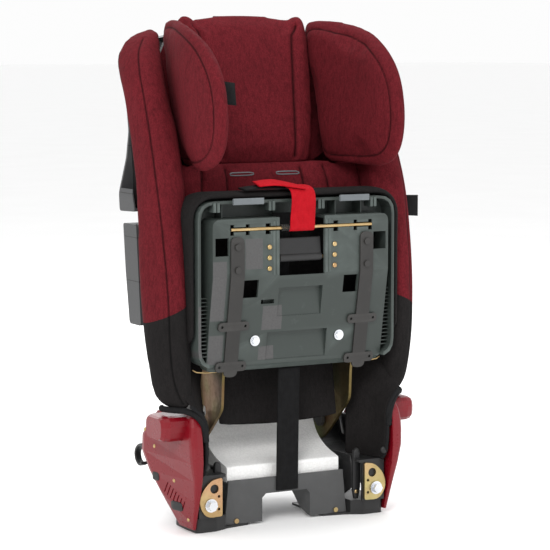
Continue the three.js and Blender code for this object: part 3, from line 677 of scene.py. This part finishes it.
# ---- Side bolsters ----
# Height, inner x, front corner's x and y, widest x, and rear corner's x and y, in millimetres.
BOLSTER = (
    (175, 164, 166, -82, 178, 184, -48),
    (186, 163, 173, -84, 190, 193, -42),
    (198, 162, 180, -84, 198, 199, -39),
    (212, 162, 185, -83, 202, 202, -37),
    (230, 162, 189, -83, 205, 204, -34),
    (264, 164, 193, -84, 210, 206, -24),
    (312, 167, 195, -84, 212, 208, -13),
    (402, 166, 197, -74, 212, 208, -1),
    (489, 159, 199, -54, 208, 205, 15),
    (557, 155, 196, -27, 203, 202, 42),
    (611, 156, 195, -3, 201, 199, 62),
    (650, 152, 191, 20, 198, 198, 79),
    (676, 145, 180, 42, 188, 190, 86),
    (692, 138, 164, 58, 172, 174, 88),
    (702, 134, 148, 68, 154, 156, 87),
)
FRONT_CORNER, REAR_CORNER = 1, 4  # where each corner's x stands in a row's values
# Where red cloth meets black on the left bolster.
SEAM_PLANE = ((-209, -13, 296), (-196, -84, 309), (-167, -84, 322))


def corner_line(corner, out, back, heights):
    """A line up a corner of the left bolster, moved out and back a little."""
    rows = along(BOLSTER, heights)
    return np.stack([-rows[:, corner] - out, rows[:, corner + 1] + back, heights], axis=1)


def bolster_outline(z):
    inner, front_x, front_y, wide, rear_x, rear_y = row_at(BOLSTER, z)
    wide, rear_x, rear_y = wide + 3, rear_x + 5, rear_y + 4  # what the cloth run and its smoothing round off
    middle = (front_x + inner) / 2
    corners = [(inner, (front_y + rear_y) / 2), (inner - 1, front_y + 3), (middle, front_y - 5),
        (front_x, front_y), (wide, (front_y + rear_y) / 2), (rear_x, rear_y), (inner + 6, rear_y)]
    return soften(corners)


def bolster():
    """The left bolster, whole, with its seams sewn in."""
    rings = []
    low, high = BOLSTER[0][0], BOLSTER[-1][0]
    for z in np.linspace(low, high, 88):
        share = (min(1, (z - low) / 12), min(1, (high - z) / 16))
        round_off = math.sqrt(1 - (1 - min(share)) ** 2) * 0.8 + 0.2
        flat = bolster_outline(z)
        middle = flat.mean(axis=0)
        flat = middle + (flat - middle) * round_off
        rings.append([(-x, y, z) for x, y in flat])
    piece = rings_piece("bolster", rings)
    inflate(piece, 4.5)
    front = corner_line(FRONT_CORNER, 1, 1, np.linspace(186, 690, 40))
    rear = corner_line(REAR_CORNER, 1, -2, np.linspace(190, 690, 40))
    stitch(piece, [on_surface(piece, front), on_surface(piece, rear)], 1.5, 2.4)
    return piece


def halves(piece, plane, names):
    """Cuts the piece in two with a plane through three points, and closes each half."""
    a, b, c = (Vector(p) * MM for p in plane)
    normal = (b - a).cross(c - a).normalized()
    if normal.z < 0:
        normal = -normal
    made = []
    for name, above in zip(names, (True, False)):
        part = show(piece.data.copy(), name)
        bm = bmesh.new()
        bm.from_mesh(part.data)
        bmesh.ops.bisect_plane(bm, geom=bm.verts[:] + bm.edges[:] + bm.faces[:], plane_co=a, plane_no=normal,
            clear_inner=above, clear_outer=not above)
        bmesh.ops.holes_fill(bm, edges=[e for e in bm.edges if e.is_boundary])
        bm.to_mesh(part.data)
        bm.free()
        part.data.update()
        made.append(part)
    bpy.data.objects.remove(piece)
    return made


def bolsters():
    upper, lower = halves(bolster(), SEAM_PLANE, ("bolster_left", "bolster_lower_left"))
    pairs = ((upper, "left"), (lower, "left"), (mirrored(upper, "bolster_right"), "right"),
        (mirrored(lower, "bolster_lower_right"), "right"))
    for piece, side in pairs:
        if "lower" in piece.name:
            pad(piece, "back", "black_fabric", 0.8, "wing_lower_" + side)
        else:
            pad(piece, "back", "red_fabric", 0.8, "wing_" + side)


bolsters()


# ---- Headrest ----
def head_y(z):
    """The headrest pad's front at a height."""
    return HEAD_FRONT + LEAN * (z - HEAD_LOW)


# The headrest pad's left side from its foot up, and its outline round both sides.
PAD_SIDE = ((-84, 512), (-88, 530), (-96, 580), (-103, 640), (-106, 684), (-104, 708), (-94, 719), (-82, 718),
    (-76, 714), (-70, 717), (-40, 721))
PAD_EDGE = [*PAD_SIDE, (0, 722.5), *((-x, z) for x, z in PAD_SIDE[::-1]), (60, 509), (0, 508), (-60, 509)]


def headrest_pad():
    """The middle pad, with a bolster strip sewn down each side."""
    outline = resample(soften(PAD_EDGE, 1), 120)

    def place(u, v, w):
        lobe = math.exp(-(((abs(u) - 93) / 11) ** 2)) * 7 * ease(v, 505, 540)
        return (u, head_y(v) + 15 + w * 14 - (lobe if w < 0 else 0), v)

    piece = pad_piece("headrest_pad_cover", outline, place, 22, 5)
    inflate(piece, 5)
    seam = ((60, 506), (63, 560), (68, 620), (73, 680), (76, 716))
    lines = [[(side * x, head_y(z) - 14, z) for x, z in seam] for side in (-1, 1)]
    stitch(piece, [on_surface(piece, evenly(line, 30)) for line in lines], 5.5, 3.2)
    pad(piece, "headrest", "red_fabric", 0.75, "headrest_pad")


# The wing's outline from its lower root round its front edge to its upper root, as y and z.
WING_EDGE = (
    (30, 509), (-8, 508), (-48, 507), (-88, 508), (-116, 516), (-136, 532), (-144.5, 556), (-146, 582),
    (-141, 612), (-130, 638), (-110, 662), (-82, 683), (-48, 698), (-8, 708), (30, 714), (66, 716),
    (88, 712), (93, 694), (78, 640), (60, 590), (46, 550), (36, 520))


def headrest_wing():
    """The left wing: a thick pad that curves forward, with a seam round each face."""
    outline = resample(soften(WING_EDGE, 2), 110)

    def place(u, v, w):
        forward = float(ease(-u + LEAN * (v - HEAD_LOW), -38, 116))
        middle = 113 + 27 * forward - 4 * float(ease(v, 640, 707)) * forward
        half = 11.5 + 8 * forward
        return (-(middle + w * half), u, v)

    piece = pad_piece("headrest_wing", outline, place, 20, 4)
    inflate(piece, 5)
    lines = []
    middle = outline.mean(axis=0)
    for w in (-0.8, 0.8):
        ring = [place(*(middle + (p - middle) * 0.9), w) for p in outline]
        lines.append(on_surface(piece, np.array(ring)))
    stitch(piece, lines, 1.5, 2.3)
    return piece


def headrest():
    headrest_pad()
    left = headrest_wing()
    left.name = "headrest_wing_cover_left"
    for piece, side in ((left, "left"), (mirrored(left, "headrest_wing_cover_right"), "right")):
        pad(piece, "headrest", "red_fabric", 0.8, "headrest_wing_" + side)


headrest()

# ---- Back pad and seat cushion ----
# The back pad's rear: its y at each height.
REAR_LINE = ((172, 14), (300, 14), (380, 15.5), (440, 24), (508, 34))


def back_pad():
    half = [(90, 176), (92, 300), (94, 318), (110, 330), (152, 340), (163, 400), (165, 460), (165, 492),
        (164, 506), (154, 512), (60, 512)]
    outline = resample(soften(half + [(-x, z) for x, z in reversed(half)], 2), 140)

    def place(u, v, w):
        strip = math.exp(-(((abs(u) - 82) / 12) ** 2)) * 8 * float(ease(v, 380, 430))
        dip = 5 * float(ease(abs(u), 100, 118)) - 12 * float(ease(abs(u), 128, 160))
        rear = row_at(REAR_LINE, v)[0]
        return (u, rear - 15 + w * 13.5 - (strip - dip if w < 0 else 0), v)

    piece = pad_piece("back_pad_cover", outline, place, 18, 4)
    inflate(piece, 5)
    seam = ((64, 400), (63, 460), (60, 508))
    lines = [[(side * (x + out), row_at(REAR_LINE, z)[0] - 32, z) for x, z in seam]
        for side in (-1, 1) for out in (0, 42)]
    stitch(piece, [on_surface(piece, evenly(line, 20)) for line in lines], 4, 3)
    pad(piece, "back", "red_fabric", 0.7, "back_pad")


def rounded_box(half, low, high, radius):
    """An upright outline with round corners, from its lower left corner on."""
    points = []
    for x, z, start in ((-half + radius, high - radius, 180), (half - radius, high - radius, 90),
        (half - radius, low + radius, 0), (-half + radius, low + radius, -90)):
        for angle in np.radians(np.linspace(start, start - 90, 9)):
            points.append((x + radius * math.cos(angle), z + radius * math.sin(angle)))
    return points


# The seat cover: how far out from the rim, a share towards the middle, and the y at the wrap and where there
# is none.
COVER_ROWS = (
    (-150, 0.04, -60, -60), (-60, 0.6, -60, -60), (-3, 0.97, -60.5, -60), (0.6, 1, -64, -60),
    (0.8, 1, -86, -59), (2.5, 1, -92, -57), (6.5, 1, -93, -54), (9.5, 1, -88, -50), (10.5, 1, -74, -46),
    (10.5, 1, -58, -42), (9, 1, -42, -36), (4, 1, -30, -30), (-6, 0.95, -24, -24), (-40, 0.7, -21, -21),
    (-90, 0.35, -20, -20), (-150, 0.04, -20, -20))


def seat_cushion():
    """The seat's padding behind the pan, with its black cover wrapped forward round the pan's rim."""
    rim = resample(rounded_box(158.4, 246, 467.4, 26), 180)
    middle = np.array([0.0, 357.0])
    after, before = np.roll(rim, -1, axis=0), np.roll(rim, 1, axis=0)
    d = after - before
    normal = np.stack([-d[:, 1], d[:, 0]], axis=1)
    normal /= np.linalg.norm(normal, axis=1, keepdims=True)
    normal *= np.sign(np.sum(normal * (rim - middle), axis=1))[:, None]
    wrap = ease(rim[:, 1], 250, 282)
    rings = []
    for out, share, wrapped, plain in COVER_ROWS:
        flat = middle + (rim - middle) * share + (normal * out if share == 1 else 0)
        y = plain + (wrapped - plain) * wrap
        rings.append(np.stack([flat[:, 0], y, flat[:, 1]], axis=1))
    piece = rings_piece("seat_cover", rings)
    modify(piece, "SUBSURF", levels=1)
    points = points_of(piece) / MM
    ripple = 0.8 * np.sin(points[:, 0] * 0.11 + points[:, 2] * 0.07) * ease(np.abs(points[:, 0]), 60, 150)
    points[:, 1] += ripple * ease(-points[:, 1], 40, 70) * ease(points[:, 2], 300, 460) * 0.6
    put_points(piece, points * MM)
    pad(piece, "seat", "black_fabric", 0.5, "seat_cushion")


back_pad()
seat_cushion()


# ---- Flap, skirts and piping ----
FLAP_HALF, FLAP_TOP = 96, 238  # millimetres: half the flap's width, and its top's height


def lower_flap():
    """Black cloth that hangs between the arms, in front of the base."""
    rings = []
    for t in np.linspace(0, 1, 26):
        front = []
        for x in np.linspace(-FLAP_HALF, FLAP_HALF, 49):
            u = x / FLAP_HALF
            edge = 138 + 5 * u**2
            y = -37 + 15 * t + 5.5 * math.cos(u * 1.6) * (1 - t) - 2 + 0.7 * math.sin(x * 0.09) * (1 - t)
            front.append((x, y, edge + (FLAP_TOP - edge) * t))
        front = np.array(front)
        rings.append(np.vstack([front, front[::-1] + [0, 3.2, 0]]))
    piece = rings_piece("lower_flap_cloth", rings)
    modify(piece, "SUBSURF", levels=1)
    sheet(piece, "back", "black_fabric", (0.193, 0.099), "hung", ["back_pad_cover"], "lower_flap")


# Height, then x and y of six points along the skirt, from its front edge to its rear.
SKIRT = (
    (83, 146, -84, 145.5, -76, 144, -66, 137, -52, 127, -38, 118, -27),
    (92, 146, -92, 145.5, -82, 144, -68, 137, -53, 127, -38, 118, -27),
    (110, 146, -97, 145.5, -85, 144, -69, 137, -54, 127, -38, 118, -27),
    (140, 146, -98, 145.5, -86, 144, -70, 137, -54, 127, -38, 118, -27),
    (160, 147.5, -98, 146, -86, 144, -70, 137, -54, 127, -38, 119, -27),
    (172, 154, -97, 150, -87, 146, -71, 138, -54, 128, -38, 120, -27),
    (184, 168, -91, 160, -85, 151, -72, 141, -55, 130, -38, 122, -27),
    (198, 176, -86, 166, -82, 155, -71, 144, -54, 133, -38, 122, -25),
    (212, 175, -76, 164, -71, 153, -60, 142, -45, 131, -30, 118, -20),
    (228, 171, -62, 160, -52, 149, -40, 138, -30, 126, -21, 112, -15),
    (248, 168, -48, 160, -32, 149, -19, 137, -15, 123, -13, 110, -12),
    (300, 168, -44, 160, -28, 149, -17, 137, -14, 123, -12, 110, -11),
    (344, 168, -40, 160, -26, 149, -16, 137, -13, 123, -12, 110, -10),
)


def skirt():
    """The right skirt, from the bolster down into the hinge housing, with its front edge and its foot."""
    rings = []
    for z in np.concatenate([np.linspace(83, 96, 6), np.linspace(101, 344, 74)]):
        flat = row_at(SKIRT, z).reshape(-1, 2)
        line = smooth(flat, 26)
        step = np.gradient(line, axis=0)
        across = np.stack([-step[:, 1], step[:, 0]], axis=1)
        across /= np.linalg.norm(across, axis=1, keepdims=True)
        across *= np.sign(across[0] @ np.array([-1.0, 0.0]) or 1)
        inner = line + across * 3.6
        wrinkle = 0.6 * math.sin(z * 0.16)
        ring = np.vstack([line, inner[::-1]])
        rings.append(np.stack([ring[:, 0] + wrinkle * 0.4, ring[:, 1], np.full(len(ring), z)], axis=1))
    return rings_piece("skirt", rings), np.array([ring[0] for ring in rings]), rings[0][:26]


def settle_pair(piece, body, material):
    """Settles a piece and its mirrored twin."""
    here, there = ("left", "right") if "left" in piece.name else ("right", "left")
    for one in (piece, mirrored(piece, piece.name.replace(here, there))):
        settle(one, body, material)


def skirts():
    right, edge, foot = skirt()
    right.name = "skirt_cloth_right"
    modify(right, "SUBSURF", levels=1)
    front = np.array([p for p in edge[::-1] if p[2] < 186])
    line = np.vstack([front + [0, -1, 0], foot[1:16] + [0, 0, -0.5]])
    piping = tube("skirt_piping_right", smooth(line, 70), 2.6)
    snap = dome("skirt_snap_right", (143, -94, 96), (-0.35, -1, 0.1), 5.2, 2.4)
    for one, side in ((right, "right"), (mirrored(right, "skirt_cloth_left"), "left")):
        sheet(one, "back", "black_fabric", (0.078, 0.268), "hung", ["hinge_housing_" + side], "skirt_" + side)
    settle_pair(piping, "back", "piping")
    settle_pair(snap, "back", "dark_plastic")


def dome(name, centre, facing, radius, height, count=24):
    """A round-headed stud that stands on a face."""
    facing = np.array(facing, float)
    facing /= np.linalg.norm(facing)
    side = np.cross(facing, [0.2, 0.1, 0.97])
    side /= np.linalg.norm(side)
    up = np.cross(facing, side)
    angles = np.linspace(0, 2 * math.pi, count, endpoint=False)
    circle = np.cos(angles)[:, None] * side + np.sin(angles)[:, None] * up
    rings = [np.array(centre) + circle * radius * r + facing * height * h for r, h in
        ((0.6, -0.8), (1, -0.4), (1, 0.12), (0.94, 0.3), (0.8, 0.62), (0.55, 0.86), (0.25, 0.98))]
    return rings_piece(name, rings)


def bolster_piping():
    """Piping round each bolster's lower end, over the side cover, and elastic up its rear edge."""
    line = [(-189, -38, 182), (-194, -50, 181), (-192, -63, 180), (-184, -76, 180), (-173, -86, 178),
        (-161, -93, 172), (-152.5, -98, 162), (-148.5, -99.5, 150), (-147, -99.5, 132)]
    lower, upper = bpy.data.objects["bolster_lower_left"], bpy.data.objects["bolster_left"]
    hem = on_surface(lower, evenly(line[:5], 16))
    hem[:, 2] = np.minimum(hem[:, 2], 178) - 1.5
    piping = tube("bolster_piping_left", smooth(np.vstack([hem, line[5:]]), 70), 4.4)
    edge = corner_line(REAR_CORNER, -2, 1, np.linspace(196, 672, 60))
    edge = np.array([on_surface(lower if p[2] < 300 else upper, [p])[0] for p in edge])
    edge[:, 0] += 0.5 * np.sin(np.arange(len(edge)) * 1.3)
    elastic = tube("bolster_elastic_left", evenly(edge, 120), 2.0, 8)
    settle_pair(elastic, "back", "piping")
    settle_pair(piping, "back", "piping")


lower_flap()
skirts()
bolster_piping()


# ---- Webbing, labels and studs ----
def fold_strap():
    """The red strap round the long rod and up over the pan's edge, and the loose ends there."""
    band = [(0, -104.6, 424.5), (0, -108.6, 422.4), (0, -111.4, 424.6), (0, -112.2, 428), (0, -112, 440),
        (0, -111.6, 455), (0, -110.4, 466), (0, -107.5, 474), (0, -103, 479.5), (0, -94, 482.5),
        (0, -80, 483.5), (0, -68, 483)]
    strap = ribbon("fold_strap_band", smooth(band, 70, 3), (1, 0, 0), 37.4, 2.2)
    points = points_of(strap) / MM
    top = ease(points[:, 2], 430, 480)
    points[:, 0] += 3.5 * top - 2
    points[:, 0] *= 1 + 0.05 * (1 - top)
    points[:, 1] -= 0.7 * np.sin(points[:, 0] * 0.28) * (1 - top) * 0.5
    put_points(strap, points * MM)
    sheet(strap, "seat", "red_webbing", (0.0374, 0.112), "folded", ["long_rod", "seat_pan"], "fold_strap")

    tail = [(8, -97, 481.5), (-4, -94, 484), (-18, -90, 487), (-34, -88, 489.5), (-48, -87, 489),
        (-62, -86, 487.5)]
    across = [(0.25, 1, 0.1), (0.25, 1, 0.2), (0.2, 1, 0.25), (0.15, 1, 0.25), (0.1, 1, 0.2), (0.1, 1, 0.2)]
    strap = ribbon("fold_strap_tail", smooth(tail, 40), smooth(across, 40), 26, 2.0)
    sheet(strap, "seat", "red_webbing", (0.026, 0.073), "laid", ["seat_cover"])

    under = [(2, -90, 479.5), (-20, -84, 482), (-44, -82, 483.5), (-70, -84, 482.5), (-84, -86, 481)]
    strap = ribbon("fold_strap_loop", smooth(under, 40), (0.1, 1, 0.15), 18, 2.2)
    sheet(strap, "seat", "black_webbing", (0.019, 0.089), "laid", ["seat_cover"])


def harness_webbing():
    """The adjuster's strap, the harness end in the pan's opening, and woven strips at the hinge housings."""
    run = [(0, -63.2, 46), (0, -63.6, 80), (0, -64.8, 130), (0, -66.2, 180), (0, -68.2, 224)]
    strap = ribbon("adjuster_strap_band", smooth(run, 60), (1, 0, 0), 35, 2.6)
    sheet(strap, "back", "black_webbing", (0.035, 0.178), "stretched", ["base_tray"], "adjuster_strap")
    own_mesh(strap)

    inside = [(-19, -82, 446), (-19, -79, 425), (-19, -77, 400), (-19, -75, 372), (-19, -73, 352)]
    strap = ribbon("harness_end", smooth(inside, 40), (1, 0, 0.02), 31, 2.4)
    sheet(strap, "seat", "black_webbing", (0.031, 0.095), "hung", ["seat_pan"])

    for side, word in SIDES:
        strip = [(side * x, y, z) for x, y, z in ((113, -12, 160), (113, -15, 146), (113.5, -20, 130),
            (113.5, -27, 112))]
        strap = ribbon("housing_webbing_" + word, smooth(strip, 30), (side * 0.6, 0.8, 0), 13, 2.0)
        sheet(strap, "back", "grey_webbing", (0.0145, 0.05), "hung", ["hinge_housing_" + word])


def side_tag():
    """A blank folded label sewn into the right bolster's side seam."""
    rings = []
    for t in np.linspace(0, 1, 9):
        x, y = 206 + 24 * t, -38 - 5 * t - 1.2 * math.sin(t * 3)
        line = np.linspace((x, y, 431 - 1.5 * t), (x, y, 461 - 0.5 * t), 7)
        rings.append(np.vstack([line, line[::-1] + [0, 1.4, 0]]))
    piece = rings_piece("side_tag", rings)
    modify(piece, "BEVEL", width=0.0004, segments=2)
    sheet(piece, "back", "piping", (0.031, 0.025), "folded", ["bolster_right"])


def wing_tag():
    """A blank folded label in the left wing's inner seam."""
    wing = bpy.data.objects["headrest_wing_cover_left"]
    foot = on_surface(wing, [(-116, -104, z) for z in (600, 632)])
    rings = []
    for t in np.linspace(0, 1, 8):
        line = foot[0] + (foot[1] - foot[0]) * np.linspace(0, 1, 6)[:, None]
        line = line + np.array([19 * t, -3 * math.sin(t * 2), -2.5 * t]) - np.array([1.5, 0, 0])
        rings.append(np.vstack([line, line[::-1] + [0, 1.5, 0]]))
    piece = rings_piece("wing_tag", rings)
    sheet(piece, "headrest", "piping", (0.032, 0.02), "folded", ["headrest_wing_cover_left"])


def studs():
    """Brass rivets of the harness plate, in two rows of three."""
    for side, word in SIDES:
        row = [dome("rivet", (side * 52, -108.2, z), (0, -1, 0), 3.6, 1.9) for z in (401, 386, 371)]
        settle(join(row, "rivets_" + word), "seat", "zinc_steel")


PLATE_THICK = 0.9  # millimetres


def plate(name, centre, facing, width, height):
    """A thin blank plate stuck on a face, with round corners."""
    facing = np.array(facing, float)
    facing /= np.linalg.norm(facing)
    side = np.cross(facing, [0, 0, 1.0])
    side /= np.linalg.norm(side)
    up = np.cross(side, facing)
    half = np.array([width / 2, height / 2])
    outline = soften(half * [(-1, -1), (1, -1), (1, 1), (-1, 1)])
    outline = np.sign(outline) * np.minimum(np.abs(outline) * 1.12, half)
    rings = []
    for share, lift in ((0.97, -1.2), (1, 0.3), (1, PLATE_THICK * 0.8), (0.96, PLATE_THICK),
        (0.5, PLATE_THICK)):
        rings.append(np.array(centre) + share * (outline[:, :1] * side + outline[:, 1:] * up) + facing * lift)
    return rings_piece(name, rings)


def cover_fixings():
    """Screw heads and blank plates on the side covers, and gold lips of the arms' bracket under the pan."""
    screws = (((-179, 33.2, 133.6), (-0.97, 0.12, 0.23)), ((-178.9, 2.2, 114), (-0.99, -0.1, 0.09)),
        ((-171.5, -46.6, 72), (-0.97, -0.15, -0.17)), ((-160.6, -69.5, 19.2), (-0.97, -0.19, -0.13)))
    heads = [dome("head", where, facing, 2.9, 1.3, 18) for where, facing in screws]
    heads = join(heads, "cover_screws_left")
    plates = [plate("plate", (-178.7, -2.5, 71.6), (-0.98, -0.19, -0.05), 15, 12),
        plate("plate", (-167.2, -47, 35.6), (-0.97, -0.19, -0.13), 26, 13)]
    plates = join(plates, "cover_plates_left")
    settle_pair(heads, "back", "zinc_steel")
    settle_pair(plates, "back", "dark_plastic")
    lip = [(-152, -66, 230), (-146, -67.5, 226.5), (-132, -68, 225), (-114, -68, 225)]
    settle_pair(tube("bracket_lip_left", evenly(lip, 24), 1.3, 8), "seat", "zinc_steel")


def join(pieces, name):
    """Makes one piece of several."""
    for other in bpy.context.selected_objects:
        other.select_set(False)
    for piece in pieces:
        piece.select_set(True)
    bpy.context.view_layer.objects.active = pieces[0]
    bpy.ops.object.join()
    pieces[0].name = name
    return pieces[0]


SLOT_X, SLOT_Z = 38.0, 499.0  # the middle of a harness slot


def slits():
    """The two harness slots through the back pad, each with a pale moulded lip."""
    cover = bpy.data.objects["back_pad_cover"]
    for side, word in SIDES:
        loop = []
        for angle in np.linspace(0, 2 * math.pi, 40, endpoint=False):
            x = side * SLOT_X + 20 * np.sign(math.cos(angle)) * abs(math.cos(angle)) ** 0.4
            z = SLOT_Z + 2.6 * math.sin(angle)
            loop.append((x, row_at(REAR_LINE, z)[0] - 34, z))
        lip = on_surface(cover, loop)
        rings = []
        for out, lift in ((0, -1.6), (1.0, 0.4), (0.4, 1.0), (-0.6, 0.6), (-1.2, -1.6)):
            flat = lip.copy()
            flat[:, 2] += out * np.sign(flat[:, 2] - SLOT_Z)
            flat[:, 1] -= lift
            rings.append(flat)
        rings.append(rings[0])
        settle(rings_piece("harness_slot_" + word, rings, capped=False), "back", "pale_plastic")


def cloth_over(name, node, lift):
    """Thin cloth stretched over the faces of a CAD node that look forward."""
    piece = show(NODES[node].data.copy(), name)
    bm = bmesh.new()
    bm.from_mesh(piece.data)
    bmesh.ops.remove_doubles(bm, verts=bm.verts, dist=WELD)
    bmesh.ops.delete(bm, geom=[f for f in bm.faces if f.normal.y > -0.3], context="FACES")
    bm.normal_update()
    for vert in bm.verts:
        vert.co += Vector((0, -lift, 0)) * MM
    bm.to_mesh(piece.data)
    bm.free()
    piece.data.update()
    return modify(piece, "SOLIDIFY", thickness=0.0016, offset=-1)


def on_back(node, points):
    """Each (x, z) put on the rear face of a CAD node; points that miss the node are left out."""
    found = []
    turned = NODES[node].matrix_world.inverted()
    for x, z in points:
        start = turned @ Vector((x * MM, 0.3, z * MM))
        hit, where, _, _ = NODES[node].ray_cast(start, turned.to_3x3() @ Vector((0, -1, 0)))
        if hit:
            found.append(np.array(NODES[node].matrix_world @ where) / MM)
    return np.array(found)


def shell_ribs():
    """Moulded ribs on the rear shells."""
    runs = [("back_shell_lower", [(x, z) for x in np.linspace(-168, 168, 60)]) for z in (308, 334, 382, 406)]
    runs += [("rear_base_shell", [(x, z) for z in np.linspace(124, 268, 30)]) for x in (-52, -18, 18, 52)]
    arch = [(-150, 462), (-138, 560), (-112, 628), (-60, 640), (60, 640), (112, 628), (138, 560), (150, 462)]
    runs.append(("back_shell_upper", smooth(arch, 120)))
    runs += [("back_shell_upper", [(x, z) for x in np.linspace(-128, 128, 60)]) for z in (480, 506)]
    for number, (node, points) in enumerate(runs, 1):
        line = on_back(node, points) - [0, 0.6, 0]
        settle(tube("shell_rib_" + str(number), line, 2.4), "back", "shell_plastic")


BACK_LOW = 446  # millimetres, the back cloths' lower edge
# The back cloth's y at each height.
BACK_LINE = ((BACK_LOW, 75), (490, 77.5), (515, 80), (560, 89), (620, 106), (664, 119))


def back_cloth(side, word):
    """Cloth behind the headrest, on one side of its rails."""
    rings = []
    for z in np.linspace(BACK_LOW, 664, 30):
        y = row_at(BACK_LINE, z)[0]
        front = [(side * x, y - 7 * float(ease(x, 128, 158)), z) for x in np.linspace(60, 172, 20)]
        rings.append(np.array(front + [(x, y1 + 2.4, z1) for x, y1, z1 in front[::-1]]))
    piece = rings_piece("back_cloth_" + word, rings)
    sheet(piece, "back", "red_fabric", (0.113, 0.231), "stretched", ["back_shell_upper"])


def side_gusset(side, word):
    """Cloth between a bolster and the rear shell, in black as painted shade for the deep shade behind the
    bolster's edge.
    """
    rings = []
    for z in np.linspace(BACK_LOW, 640, 24):
        inner, rear_y = row_at(BOLSTER, z)[[0, 5]]
        near, far = np.array([inner + 5, rear_y - 3]), np.array([174, row_at(BACK_LINE, z)[0] + 2])
        line = [near + (far - near) * t + np.array([4 * math.sin(t * math.pi), 0])
            for t in np.linspace(0, 1, 12)]
        rings.append(np.array([(side * x, y, z) for x, y in line + [p + [-2.0, 0] for p in line[::-1]]]))
    piece = rings_piece("side_gusset_" + word, rings)
    # The black cloth is painted shade behind the bolster's edge.
    sheet(piece, "back", "black_fabric", (0.058, 0.2), "stretched", ["back_shell_upper"])


def layered(name, corners, layers, point):
    """A thin panel: its outline at each depth and share of its size, put in space by point(u, v, depth)."""
    outline = soften(corners, 1)
    middle = outline.mean(axis=0)
    rings = [[point(u, v, depth) for u, v in middle + (outline - middle) * share] for depth, share in layers]
    piece = rings_piece(name, rings)
    settle(piece, "back", "dark_plastic")


def housing_liner(side, word):
    """Plastic panels between the base and a hinge housing, with a screw in the front one."""
    layered("housing_liner_" + word,
        [(side * 106.4, 22), (side * 119, 22), (side * 119, 92), (side * 114, 98), (side * 107, 92)],
        ((-62, 0.96), (-63, 1), (-67, 1), (-68.2, 0.96), (-68.6, 0.85)), lambda u, v, depth: (u, depth, v))
    layered("housing_wall_" + word, [(-64, 24), (40, 24), (40, 74), (10, 84), (-40, 86), (-64, 86)],
        ((106.4, 0.97), (106.7, 1), (109.4, 1), (109.8, 0.97)), lambda u, v, depth: (side * depth, u, v))
    screw = dome("liner_screw_" + word, (side * 112, -68.4, 33), (0, -1, 0), 3.2, 1.6)
    settle(screw, "back", "zinc_steel")


def backing():
    """What closes the seat behind its pads."""
    for side, word in SIDES:
        back_cloth(side, word)
        side_gusset(side, word)
        housing_liner(side, word)
    cloth = cloth_over("headrest_shell_cloth", "headrest_shell", 2.2)
    sheet(cloth, "headrest", "red_fabric", (0.29, 0.2), "stretched", ["headrest_shell"])


fold_strap()
harness_webbing()
side_tag()
wing_tag()
studs()
slits()
backing()
shell_ribs()
cover_fixings()
